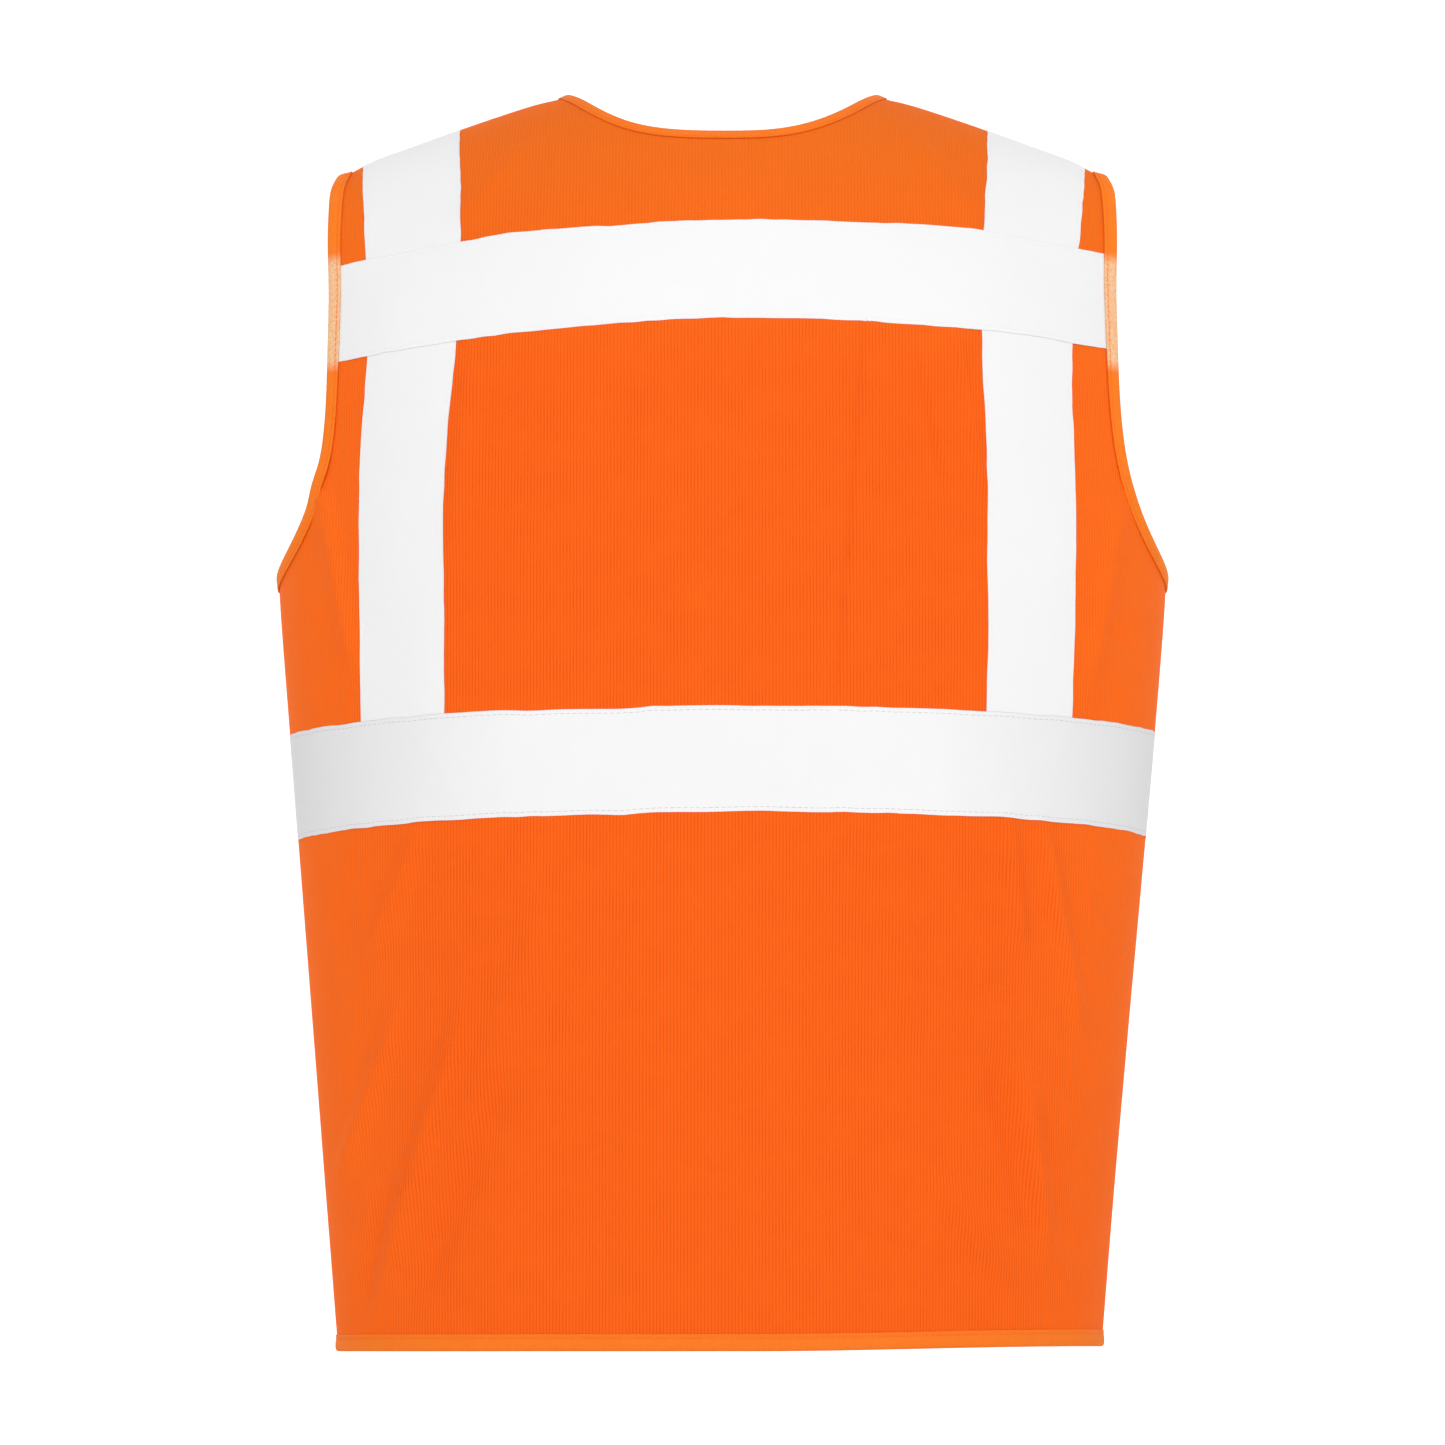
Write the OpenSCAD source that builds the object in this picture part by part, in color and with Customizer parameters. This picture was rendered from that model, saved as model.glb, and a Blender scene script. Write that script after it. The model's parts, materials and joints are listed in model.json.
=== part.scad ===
// High visibility vest: knitted fabric panels, bound edges and reflective tapes.
// The fronts overlap, close with hook and loop patches, and fold open.
// Millimetres. Z is up, the back faces -Y, and the neck points are at Z = 0.

/* [Body form] */
// Height from the neck points down to the hem
vest_height = 618; // [560:2:700]
// Half of the width at the underarm
underarm_half_width = 218; // [190:1:250]
// Half of the width at the hem
hem_half_width = 186; // [170:1:240]
// Depth of the back behind the shoulder line
back_depth = 120; // [80:1:150]
// Depth of the front before the shoulder line
front_depth = 98; // [80:1:140]
// How far below the shoulder line the back reaches its full depth
back_reach = 160; // [100:5:220]
// How far below the shoulder line the front reaches its full depth
front_reach = 92; // [80:2:160]
// Roundness of the front in plan, where 1 is an ellipse and less is boxier
front_fullness = 0.7; // [0.5:0.05:1]

/* [Shoulders, neck and armholes] */
// Half of the width between the two neck points
neck_half_width = 77; // [65:1:90]
// Half of the width over the shoulder tips
shoulder_half_width = 191; // [170:1:215]
// Drop of the shoulder tips below the neck points
shoulder_drop = 40; // [25:1:60]
// Drop of the back neckline at its middle
back_neck_drop = 34; // [15:1:60]
// Depth of the underarm below the neck points
armhole_depth = 246; // [210:1:280]
// Depth at which the slanted neck edges turn down into the front edges
front_neck_depth = 285; // [220:5:320]

/* [Fabric] */
// Thickness of the knitted fabric
fabric_thickness = 0.8; // [0.5:0.1:1.5]
// Width of the binding on each face
binding_width = 7; // [5:0.5:12]
// Thickness of one layer of binding
binding_thickness = 0.6; // [0.4:0.1:1]

/* [Reflective tapes] */
// Width of every tape
tape_width = 50; // [50:5:75]
// Thickness of a tape
tape_thickness = 0.5; // [0.3:0.1:0.8]
// Top of the waist tape below the neck points
waist_tape_top = 317; // [290:1:360]
// Middle of the upper tape below the neck points
upper_tape_middle = 107; // [90:1:140]
// Droop of the upper tape towards the armholes
upper_tape_droop = 8; // [0:1:15]
// Distance of the vertical tapes from the middle line
brace_offset = 148; // [120:1:160]

/* [Front closure] */
// Reach of each front past the middle line
overlap = 16; // [12:1:25]
// Height that the outer front is raised over the inner one
overlap_lift = 3.8; // [3.4:0.1:6]
// Width of a fastening patch
patch_width = 16; // [12:1:25]
// Height of a fastening patch
patch_height = 42; // [30:1:60]
// Distance of the fold from the middle line at its top
fold_top_x = 58; // [54:1:70]
// Distance of the fold from the middle line at the hem
fold_hem_x = 130; // [110:1:140]

/* [Labels] */
// Width of the blank size label
size_label_width = 40; // [30:1:50]
// Height of the blank care label
care_label_height = 44; // [30:1:60]

/* [Hidden] */

hem_z = -vest_height;
tip_z = -shoulder_drop;
underarm_z = -armhole_depth;
lapel_z = -front_neck_depth;
fold_top_z = -90;
cut = 0.5;
clear = 0.3;
seam_angle = 0.2;
full = 1.7;
neck_soft = 80;
seam_slope = shoulder_drop / (norm([shoulder_half_width, neck_soft]) - norm([neck_half_width, neck_soft]));
half_fabric = fabric_thickness / 2;
low_rows = 5;
arm_rows = 16;
join = 0.002;
low_tape = half_fabric + 0.35;
high_tape = low_tape + tape_thickness + 0.35;
waist_bottom_z = -waist_tape_top - tape_width;
underarm_v = (hem_z - underarm_z) / (hem_z - tip_z);
fabric_color = [0.99, 0.40, 0.11];
binding_color = [1.0, 0.50, 0.18];
tape_color = [0.90, 0.90, 0.91];
seam_color = [0.90, 0.36, 0.10];
patch_color = [0.93, 0.38, 0.12];
label_color = [0.95, 0.95, 0.94];

// ---- small helpers ----
function clamp(t, low, high) = min(high, max(low, t));
function ease(t) = let (s = clamp(t, 0, 1)) s * s * (3 - 2 * s);
function mix(a, b, t) = a + (b - a) * t;
function steps(from, to, count) = [for (i = [0 : count]) mix(from, to, i / count)];
function last(list) = len(list) - 1;
function flat(rows) = [for (row = rows, item = row) item];
function unit(v) = v / norm(v);

// ---- the body form; a place on it is [angle from the back's middle, height] ----
function half_width(z) =
    mix(underarm_half_width, hem_half_width, clamp((underarm_z - z) / (underarm_z - hem_z), 0, 1));
function seam_z(x) = seam_slope * (norm([neck_half_width, neck_soft]) - norm([x, neck_soft]));
function rise(x, z, reach) =
    pow(1 - pow(1 - clamp((seam_z(x) - z) / reach, 0, 1), full), 1 / full);
function form(q) = let (
    c = cos(q[0]),
    a = half_width(q[1]),
    x = a * sin(q[0]),
    y = c > 0
        ? -back_depth * a / underarm_half_width * c * rise(x, q[1], back_reach)
        : front_depth * pow(-c, front_fullness) * rise(x, q[1], front_reach)
) [x, y, q[1]];
function normal(q) = let (
    across = form([q[0] + 0.2, q[1]]) - form([q[0] - 0.2, q[1]]),
    up = form([q[0], q[1] + 0.2]) - form([q[0], q[1] - 0.2])
) unit(cross(across, up));
function lifted(q, lap) = lap == 0 ? 0 : lap * ease((q[0] - 167) / 6.5);
function at(q, d, lap = 0) = form(q) + normal(q) * (d + lifted(q, lap));

// ---- edge curves, as distances from the middle line at a height ----
function armhole_x(z) = mix(
    shoulder_half_width, underarm_half_width,
    pow(clamp((tip_z - z) / (tip_z - underarm_z), 0, 1), 3.7)
);
function side_x(z) = z > underarm_z ? armhole_x(z) : half_width(z);
function neckline_z(x) = -back_neck_drop * (1 - pow(abs(x) / neck_half_width, 2.5));
function lapel_x(z) = z > lapel_z
    ? mix(neck_half_width, -overlap, z / lapel_z)
    : -overlap;
function fold_x(z) = mix(fold_top_x, fold_hem_x, (fold_top_z - z) / (fold_top_z - hem_z));
function lean(x, z) = asin(clamp(x / half_width(z), -1, 1));
function on_back(x, z) = [clamp(lean(x, z), seam_angle - 90, 90 - seam_angle), z];
function on_front(x, z) = [180 - min(lean(x, z), 90 - seam_angle), z];

// ---- rows from the hem (0) to the top edge (1) ----
function arm_step(s) = 1 - pow(1 - s * s, full);
function arm_v(s) = mix(underarm_v, 1, arm_step(s));
function arm_s(v) = sqrt(1 - pow(1 - (v - underarm_v) / (1 - underarm_v), 1 / full));
low_v = [for (i = [0 : low_rows - 1]) underarm_v * i / low_rows];
back_v = concat(low_v, [for (s = steps(0, 1, arm_rows)) arm_v(s)]);
step_v = (hem_z - fold_top_z) / hem_z;
step_gap = 1.5 / vest_height;
front_v = concat(
    low_v,
    [for (s = steps(0, arm_s(step_v - step_gap), 10)) arm_v(s)],
    [for (s = steps(arm_s(step_v), 1, 6)) arm_v(s)]
);

// ---- solids ----
// A closed sheet over a grid of places: rows go up, columns go left to right seen from outside.
module sheet(grid, d_in, d_out, lap = 0) {
    rows = len(grid);
    cols = len(grid[0]);
    outer = [for (row = grid, q = row) at(q, d_out, lap)];
    inner = [for (row = grid, q = row) at(q, d_in, lap)];
    m = rows * cols;
    function id(r, c) = r * cols + c;
    function quad(a, b, c, d) = [[a, b, c], [a, c, d]];
    faces = concat(
        [for (r = [0 : rows - 2], c = [0 : cols - 2])
            each quad(id(r, c), id(r + 1, c), id(r + 1, c + 1), id(r, c + 1))],
        [for (r = [0 : rows - 2], c = [0 : cols - 2])
            each quad(m + id(r, c), m + id(r, c + 1), m + id(r + 1, c + 1), m + id(r + 1, c))],
        [for (c = [0 : cols - 2])
            each quad(id(0, c), id(0, c + 1), m + id(0, c + 1), m + id(0, c))],
        [for (c = [0 : cols - 2]) each quad(
            id(rows - 1, c + 1), id(rows - 1, c), m + id(rows - 1, c), m + id(rows - 1, c + 1))],
        [for (r = [0 : rows - 2])
            each quad(id(r + 1, 0), id(r, 0), m + id(r, 0), m + id(r + 1, 0))],
        [for (r = [0 : rows - 2]) each quad(
            id(r, cols - 1), id(r + 1, cols - 1), m + id(r + 1, cols - 1), m + id(r, cols - 1))]
    );
    polyhedron(points = concat(outer, inner), faces = faces, convexity = 8);
}

// A folded binding along a path of places on an edge; beside holds the next places into the fabric.
module binding(path, beside, lap = 0, closed = false, room = 0) {
    n = len(path);
    slot = half_fabric + clear + room;
    skin = slot + binding_thickness;
    back = clear + binding_thickness;
    section = [
        [binding_width, skin], [-clear / 2, skin], [-back, skin / 2], [-back, -skin / 2],
        [-clear / 2, -skin], [binding_width, -skin], [binding_width, -slot], [-clear, -slot],
        [-clear, slot], [binding_width, slot]
    ];
    k = len(section);
    spine = [for (q = path) at(q, 0, lap)];
    near = [for (q = beside) at(q, 0, lap)];
    function before(i) = closed ? (i + n - 1) % n : max(i - 1, 0);
    function after(i) = closed ? (i + 1) % n : min(i + 1, n - 1);
    function ring(i) = let (
        run = unit(spine[after(i)] - spine[before(i)]),
        side = near[i] - spine[i],
        inward = unit(side - run * (side * run)),
        out = cross(run, inward)
    ) [for (p = section) spine[i] + inward * p[0] + out * p[1]];
    points = [for (i = [0 : n - 1]) each ring(i)];
    links = closed ? n : n - 1;
    walls = [for (i = [0 : links - 1], j = [0 : k - 1]) let (
        a = i * k + j,
        b = after(i) * k + j,
        c = after(i) * k + (j + 1) % k,
        d = i * k + (j + 1) % k
    ) each [[a, b, c], [a, c, d]]];
    cap = [[0, 1, 8], [0, 8, 9], [1, 2, 8], [2, 3, 7], [2, 7, 8], [3, 4, 7], [4, 5, 6], [4, 6, 7]];
    far = (n - 1) * k;
    ends = closed ? [] : concat(cap, [for (t = cap) [far + t[2], far + t[1], far + t[0]]]);
    polyhedron(points = points, faces = concat(walls, ends), convexity = 8);
}

// ---- grids of places ----
neck_turn = asin(neck_half_width / shoulder_half_width);
neck_turns = [for (t = steps(-90, 90, 18)) asin(neck_half_width / shoulder_half_width * sin(t))];
back_turns = concat(
    steps(-90, -neck_turn, 12), [for (i = [1 : last(neck_turns) - 1]) neck_turns[i]], steps(neck_turn, 90, 12)
);
function back_top_z(x) = abs(x) < neck_half_width ? neckline_z(x) : seam_z(x);
function back_place(turn, v) = let (
    z = mix(hem_z, back_top_z(shoulder_half_width * sin(turn)) - join, v)
) on_back(side_x(z) * sin(turn), z);
back_grid = [for (v = back_v) [for (turn = back_turns) back_place(turn, v)]];

// The fixed part of a front, from the side to the neck edge or the fold.
function front_place(u, v) = let (
    z_side = mix(hem_z, tip_z, v),
    z_neck = mix(hem_z, 0, v),
    x_neck = z_neck > fold_top_z - 1 ? lapel_x(z_neck) : fold_x(z_neck) + cut,
    side = min(lean(side_x(z_side), z_side), 90 - seam_angle),
    neck = lean(x_neck, z_neck),
    tip = lean(shoulder_half_width, tip_z),
    root = lean(neck_half_width, 0),
    top = seam_z(underarm_half_width * sin(mix(tip, root, u))) - join
) [180 - mix(side, neck, u), mix(hem_z, top, v)];
front_grid = [for (v = front_v) [for (u = steps(0, 1, 12)) front_place(u, v)]];

// The part of a front that folds open, from the fold to the front edge.
flap_top_z = fold_top_z - 2.5;
flap_rows = concat(steps(hem_z, lapel_z, 7), [for (z = steps(lapel_z, flap_top_z, 10)) if (z > lapel_z + 1) z]);
bound_width = binding_width + 1;
function flap_turn(x, z) = 180 - lean(x, z);
function flap_column(u, z) = min(mix(fold_x(z) - cut, lapel_x(z) + bound_width, u), fold_x(z) - cut - 0.8 * u);
flap_grid = [for (z = flap_rows) concat(
    [for (u = steps(0, 1, 9)) [flap_turn(flap_column(u, z), z), z]],
    [[flap_turn(lapel_x(z), z), z]]
)];

function band_z(x) = -upper_tape_middle - upper_tape_droop * pow(abs(x) / shoulder_half_width, 1.3);
function inside_armhole_x(z) = armhole_x(z) - binding_width - cut;
function inside_lapel_x(z) = lapel_x(z) + binding_width + cut;

upper_grid = [for (w = steps(-0.5, 0.5, 4)) [for (u = steps(-1, 1, 34)) let (
    edge_x = inside_armhole_x(band_z(shoulder_half_width) + w * tape_width),
    x = edge_x * sin(75 * u) / sin(75)
) on_back(x, band_z(x) + w * tape_width)]];
back_waist_grid = [for (z = steps(waist_bottom_z, -waist_tape_top, 2)) [for (turn = steps(-90, 90, 36))
    on_back(half_width(z) * sin(turn), z)]];

// A vertical tape from inside the waist tape up to the shoulder seam.
brace_half = tape_width * 0.447;
brace_bottom_z = -waist_tape_top - 10;
function brace_x(s, w) = brace_offset + 6.5 * s * s + w * brace_half;
function brace_place(s, w) = let (x = brace_x(s, w), v = 1 - pow(1 - s, 1.9))
    [x, mix(brace_bottom_z, seam_z(x) - join, v)];
back_brace_grid = [for (s = steps(0, 1, 20)) [for (w = steps(-1, 1, 4)) let (p = brace_place(s, w))
    on_back(p[0], p[1])]];
front_brace_grid = [for (s = steps(0, 1, 28)) [for (w = steps(1, -1, 4)) let (p = brace_place(s, w))
    on_front(p[0], p[1])]];

chest_rows = steps(-0.5, 0.5, 4);
function chest_z(x, w) = band_z(shoulder_half_width) + 4 + w * tape_width;
chest_grid = [for (w = chest_rows) let (z = chest_z(0, w)) [for (u = steps(0, 1, 12))
    [180 - mix(lean(inside_armhole_x(z), z), lean(fold_x(z) + cut, z), u), z]]];
flap_chest_grid = [for (w = chest_rows) let (z = chest_z(0, w)) [for (u = steps(0, 1, 4))
    [180 - mix(lean(fold_x(z) - cut, z), lean(min(inside_lapel_x(z), fold_x(z) - cut - 0.8), z), u), z]]];
waist_rows = steps(waist_bottom_z, -waist_tape_top, 2);
front_waist_grid = [for (z = waist_rows) [for (u = steps(0, 1, 20))
    [180 - mix(90 - seam_angle, lean(fold_x(z) + cut, z), u), z]]];
flap_waist_grid = [for (z = waist_rows) [for (u = steps(0, 1, 12))
    [180 - mix(lean(fold_x(z) - cut, z), lean(inside_lapel_x(z), z), u), z]]];

side_seam_grid = [for (z = steps(hem_z + 8.5, underarm_z - 9, 8)) [for (t = [-1 : 1]) [90 + 2.2 * t, z]]];
size_label_grid = [for (z = [-72, -60, -48]) [for (x = steps(-size_label_width / 2, size_label_width / 2, 4))
    on_back(x, z)]];
care_label_grid = [for (z = steps(-470 - care_label_height, -470, 2)) [for (t = steps(-87.6, -72, 4)) [t, z]]];

// The middle and the height of each patch: the first sits between the neck edge and the waist tape.
patch_places = [
    [-(front_neck_depth + waist_tape_top) / 2 - 0.5, waist_tape_top - front_neck_depth - 6],
    [-430, patch_height], [-570, patch_height]
];
function patch_grid(place) = [for (h = [-0.5, 0.5]) [for (u = steps(-0.5, 0.5, 2))
    on_front(-u * patch_width, place[0] + h * place[1])]];

// ---- paths for the bindings: an edge of a grid, and the places beside it ----
back_last = last(back_turns);
back_top = last(back_v);
front_top = last(front_v);
neck_columns = [for (c = [back_last : -1 : 0]) if (abs(back_turns[c]) < neck_turn - 0.1) c];
function back_neck(in) = [for (c = neck_columns) back_grid[back_top - in][c]];
function armhole(in) = concat(
    [for (r = [low_rows + 1 : back_top]) back_grid[r][back_last - in]],
    [for (r = [front_top - 1 : -1 : low_rows]) front_grid[r][in]]
);
function neck_edge(in) = [for (r = [low_rows + 11 : front_top]) front_grid[r][12 - in]];
function front_edge(in) = [for (row = flap_grid) row[10 - in]];
function flap_hem_edge(in) = [for (c = [0 : 9]) flap_grid[in][c]];

// ---- the right side; the left side mirrors it ----
module front_panel() { sheet(front_grid, -half_fabric, half_fabric); }
module neck_binding() { binding(neck_edge(0), neck_edge(1)); }
module armhole_binding() { binding(armhole(0), armhole(1), closed = true); }
module hem_binding() { binding(front_grid[0], front_grid[1]); }
module back_brace() { sheet(back_brace_grid, low_tape, low_tape + tape_thickness); }
module front_brace() { sheet(front_brace_grid, low_tape, low_tape + tape_thickness); }
module chest_tape() { sheet(chest_grid, high_tape, high_tape + tape_thickness); }
module waist_tape() { sheet(front_waist_grid, high_tape, high_tape + tape_thickness); }
module side_seam() { sheet(side_seam_grid, -half_fabric - 1.1, -half_fabric - 0.5); }
// The allowance of the shoulder seam, pressed towards the back under the back panel's top row.
module shoulder_seam() {
    low_x = neck_half_width + bound_width;
    high_x = shoulder_half_width - bound_width;
    function top_x(c) = shoulder_half_width * sin(back_turns[c]);
    cols = [for (c = [0 : last(back_turns)]) if (top_x(c) > low_x && top_x(c) < high_x) c];
    top = [for (c = cols) at(back_grid[back_top][c], 0)];
    low = [for (c = cols) at(back_grid[back_top - 1][c], 0)];
    n = len(cols);
    function run(i) = unit(top[min(i + 1, n - 1)] - top[max(i - 1, 0)]);
    function down(i) = let (v = low[i] - top[i]) unit(v - run(i) * (v * run(i)));
    section = [[1, 0.5], [9, 0.5], [9, 1.1], [1, 1.1]];
    function out(i) = let (v = cross(down(i), run(i))) v[1] < 0 ? v : -v;
    points = [for (i = [0 : n - 1], p = section) top[i] + down(i) * p[0] - out(i) * (half_fabric + p[1])];
    walls = [for (i = [0 : n - 2], j = [0 : 3]) let (
        a = i * 4 + j, b = a + 4, c = (i + 1) * 4 + (j + 1) % 4, d = i * 4 + (j + 1) % 4
    ) each [[a, b, c], [a, c, d]]];
    far = (n - 1) * 4;
    polyhedron(
        points = points,
        faces = concat(walls, [[0, 1, 2], [0, 2, 3], [far + 2, far + 1, far], [far + 3, far + 2, far]]),
        convexity = 4
    );
}
module flap(lap) { sheet(flap_grid, -half_fabric, half_fabric, lap); }
module flap_chest(lap) { sheet(flap_chest_grid, high_tape, high_tape + tape_thickness, lap); }
module flap_waist(lap) { sheet(flap_waist_grid, high_tape, high_tape + tape_thickness, lap); }
module flap_hem(lap) { binding(flap_hem_edge(0), flap_hem_edge(1), lap); }
module front_edge_binding(lap) { binding(front_edge(0), front_edge(1), lap); }
module patches(d) {
    for (place = patch_places) {
        sheet(patch_grid(place), d, d + 1.1);
    }
}

// ---- the sub-parts ----
module back_panel() { color(fabric_color) sheet(back_grid, -half_fabric, half_fabric); }
module right_front_panel() { color(fabric_color) front_panel(); }
module left_front_panel() { color(fabric_color) mirror([1, 0, 0]) front_panel(); }
module back_neck_binding() { color(binding_color) binding(back_neck(0), back_neck(1), room = 0.7); }
module right_neck_binding() { color(binding_color) neck_binding(); }
module left_neck_binding() { color(binding_color) mirror([1, 0, 0]) neck_binding(); }
module right_armhole_binding() { color(binding_color) armhole_binding(); }
module left_armhole_binding() { color(binding_color) mirror([1, 0, 0]) armhole_binding(); }
module back_hem_binding() { color(binding_color) binding(back_grid[0], back_grid[1]); }
module right_hem_binding() { color(binding_color) hem_binding(); }
module left_hem_binding() { color(binding_color) mirror([1, 0, 0]) hem_binding(); }
module back_upper_tape() { color(tape_color) sheet(upper_grid, high_tape, high_tape + tape_thickness); }
module back_waist_tape() { color(tape_color) sheet(back_waist_grid, high_tape, high_tape + tape_thickness); }
module back_right_brace_tape() { color(tape_color) back_brace(); }
module back_left_brace_tape() { color(tape_color) mirror([1, 0, 0]) back_brace(); }
module front_right_brace_tape() { color(tape_color) front_brace(); }
module front_left_brace_tape() { color(tape_color) mirror([1, 0, 0]) front_brace(); }
module right_chest_tape() { color(tape_color) chest_tape(); }
module left_chest_tape() { color(tape_color) mirror([1, 0, 0]) chest_tape(); }
module right_waist_tape() { color(tape_color) waist_tape(); }
module left_waist_tape() { color(tape_color) mirror([1, 0, 0]) waist_tape(); }
module right_side_seam() { color(seam_color) side_seam(); }
module left_side_seam() { color(seam_color) mirror([1, 0, 0]) side_seam(); }
module right_shoulder_seam() { color(seam_color) shoulder_seam(); }
module left_shoulder_seam() { color(seam_color) mirror([1, 0, 0]) shoulder_seam(); }
module size_label() { color(label_color) sheet(size_label_grid, -half_fabric - 0.7, -half_fabric - 0.3); }
module care_label() { color(label_color) sheet(care_label_grid, -half_fabric - 1.8, -half_fabric - 1.4); }
module right_flap() { color(fabric_color) flap(0); }
module right_flap_chest_tape() { color(tape_color) flap_chest(0); }
module right_flap_waist_tape() { color(tape_color) flap_waist(0); }
module right_flap_hem_binding() { color(binding_color) flap_hem(0); }
module right_front_edge_binding() { color(binding_color) front_edge_binding(0); }
module loop_patches() { color(patch_color) patches(half_fabric + 0.1); }
module left_flap() { color(fabric_color) mirror([1, 0, 0]) flap(overlap_lift); }
module left_flap_chest_tape() { color(tape_color) mirror([1, 0, 0]) flap_chest(overlap_lift); }
module left_flap_waist_tape() { color(tape_color) mirror([1, 0, 0]) flap_waist(overlap_lift); }
module left_flap_hem_binding() { color(binding_color) mirror([1, 0, 0]) flap_hem(overlap_lift); }
module left_front_edge_binding() { color(binding_color) mirror([1, 0, 0]) front_edge_binding(overlap_lift); }
module hook_patches() { color(patch_color) patches(overlap_lift - half_fabric - 1.2); }

back_panel();
right_front_panel();
left_front_panel();
back_neck_binding();
right_neck_binding();
left_neck_binding();
right_armhole_binding();
left_armhole_binding();
back_hem_binding();
right_hem_binding();
left_hem_binding();
back_upper_tape();
back_waist_tape();
back_right_brace_tape();
back_left_brace_tape();
front_right_brace_tape();
front_left_brace_tape();
right_chest_tape();
left_chest_tape();
right_waist_tape();
left_waist_tape();
right_side_seam();
left_side_seam();
right_shoulder_seam();
left_shoulder_seam();
size_label();
care_label();
right_flap();
right_flap_chest_tape();
right_flap_waist_tape();
right_flap_hem_binding();
right_front_edge_binding();
loop_patches();
left_flap();
left_flap_chest_tape();
left_flap_waist_tape();
left_flap_hem_binding();
left_front_edge_binding();
hook_patches();
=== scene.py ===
import json
import math

import bpy
import numpy as np
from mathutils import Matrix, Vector


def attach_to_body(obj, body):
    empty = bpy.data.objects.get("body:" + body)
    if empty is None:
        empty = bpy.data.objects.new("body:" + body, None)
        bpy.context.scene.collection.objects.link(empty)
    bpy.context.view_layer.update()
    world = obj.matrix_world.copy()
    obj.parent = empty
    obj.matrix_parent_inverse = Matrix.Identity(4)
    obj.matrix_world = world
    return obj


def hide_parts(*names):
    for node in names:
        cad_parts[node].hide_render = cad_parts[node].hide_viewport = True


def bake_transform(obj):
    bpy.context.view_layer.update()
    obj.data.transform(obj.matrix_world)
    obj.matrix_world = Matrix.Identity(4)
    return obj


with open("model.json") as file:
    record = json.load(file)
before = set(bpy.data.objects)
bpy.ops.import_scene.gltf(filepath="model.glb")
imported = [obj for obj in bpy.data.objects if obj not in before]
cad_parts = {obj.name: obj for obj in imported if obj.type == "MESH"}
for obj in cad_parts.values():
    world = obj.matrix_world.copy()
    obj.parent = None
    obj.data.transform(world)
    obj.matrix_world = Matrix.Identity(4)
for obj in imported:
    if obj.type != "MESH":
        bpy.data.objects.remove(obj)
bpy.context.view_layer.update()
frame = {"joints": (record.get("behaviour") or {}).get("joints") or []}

MM = 0.001

# ---------------------------------------------------------------- the body form, as in the CAD (mm)
UNDERARM_W, HEM_W = 218.0, 186.0
BACK_D, FRONT_D, BACK_REACH, FRONT_REACH, FULLNESS = 120.0, 98.0, 160.0, 92.0, 0.7
NECK_W, SHOULDER_W, SHOULDER_DROP, NECK_DROP = 77.0, 191.0, 40.0, 34.0
HEM_Z, TIP_Z, UNDERARM_Z, LAPEL_Z = -618.0, -40.0, -246.0, -285.0
OVERLAP, LIFT = 16.0, 3.8     # of the fronts, past the middle, and how far the outer one stands off
FULL, SOFT = 1.7, 80.0        # how full the shoulders are, and how gently their slope sets in
SLOPE = SHOULDER_DROP / (math.hypot(SHOULDER_W, SOFT) - math.hypot(NECK_W, SOFT))
BIND = 7.0
CLOTH = 0.3      # half the thickness of the cloth
TAPE_T = 0.13    # the tape's thickness
TAPE_GAP, TAPE_LIFT = 0.05, TAPE_T + 0.06     # from the cloth to a tape, and on from there to a tape over it
WAIST_TOP, TAPE_W = -317.0, 50.0
ARM_TOP_Z, ARM_Z = -131.0, -241.0     # where the armhole starts to open out, and its foot
RIGHT, LEFT = 1, -1


def ease(t):
    s = np.clip(t, 0, 1)
    return s * s * (3 - 2 * s)


def mix(a, b, t):
    return a + (b - a) * t


def half_width(z):
    soft = 8 * np.logaddexp(0, (UNDERARM_Z - z) / 8)
    return mix(UNDERARM_W, HEM_W, np.minimum(soft / (UNDERARM_Z - HEM_Z), 1))


def seam_z(x):
    return SLOPE * (math.hypot(NECK_W, SOFT) - np.hypot(x, SOFT))


def rise(x, z, reach):
    t = np.clip((seam_z(x) - z) / reach, 0, 1)
    return (1 - (1 - t) ** FULL) ** (1 / FULL)


def form(turn, z):
    """A point of the body form. turn is in degrees from the middle of the back."""
    turn, z = np.broadcast_arrays(np.asarray(turn, float), np.asarray(z, float))
    c = np.cos(np.radians(turn))
    a = half_width(z)
    x = a * np.sin(np.radians(turn))
    back = -BACK_D * a / UNDERARM_W * c * rise(x, z, BACK_REACH)
    front = FRONT_D * np.abs(c) ** FULLNESS * rise(x, z, FRONT_REACH)
    return np.stack([x, np.where(c > 0, back, front), z], -1)


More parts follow.
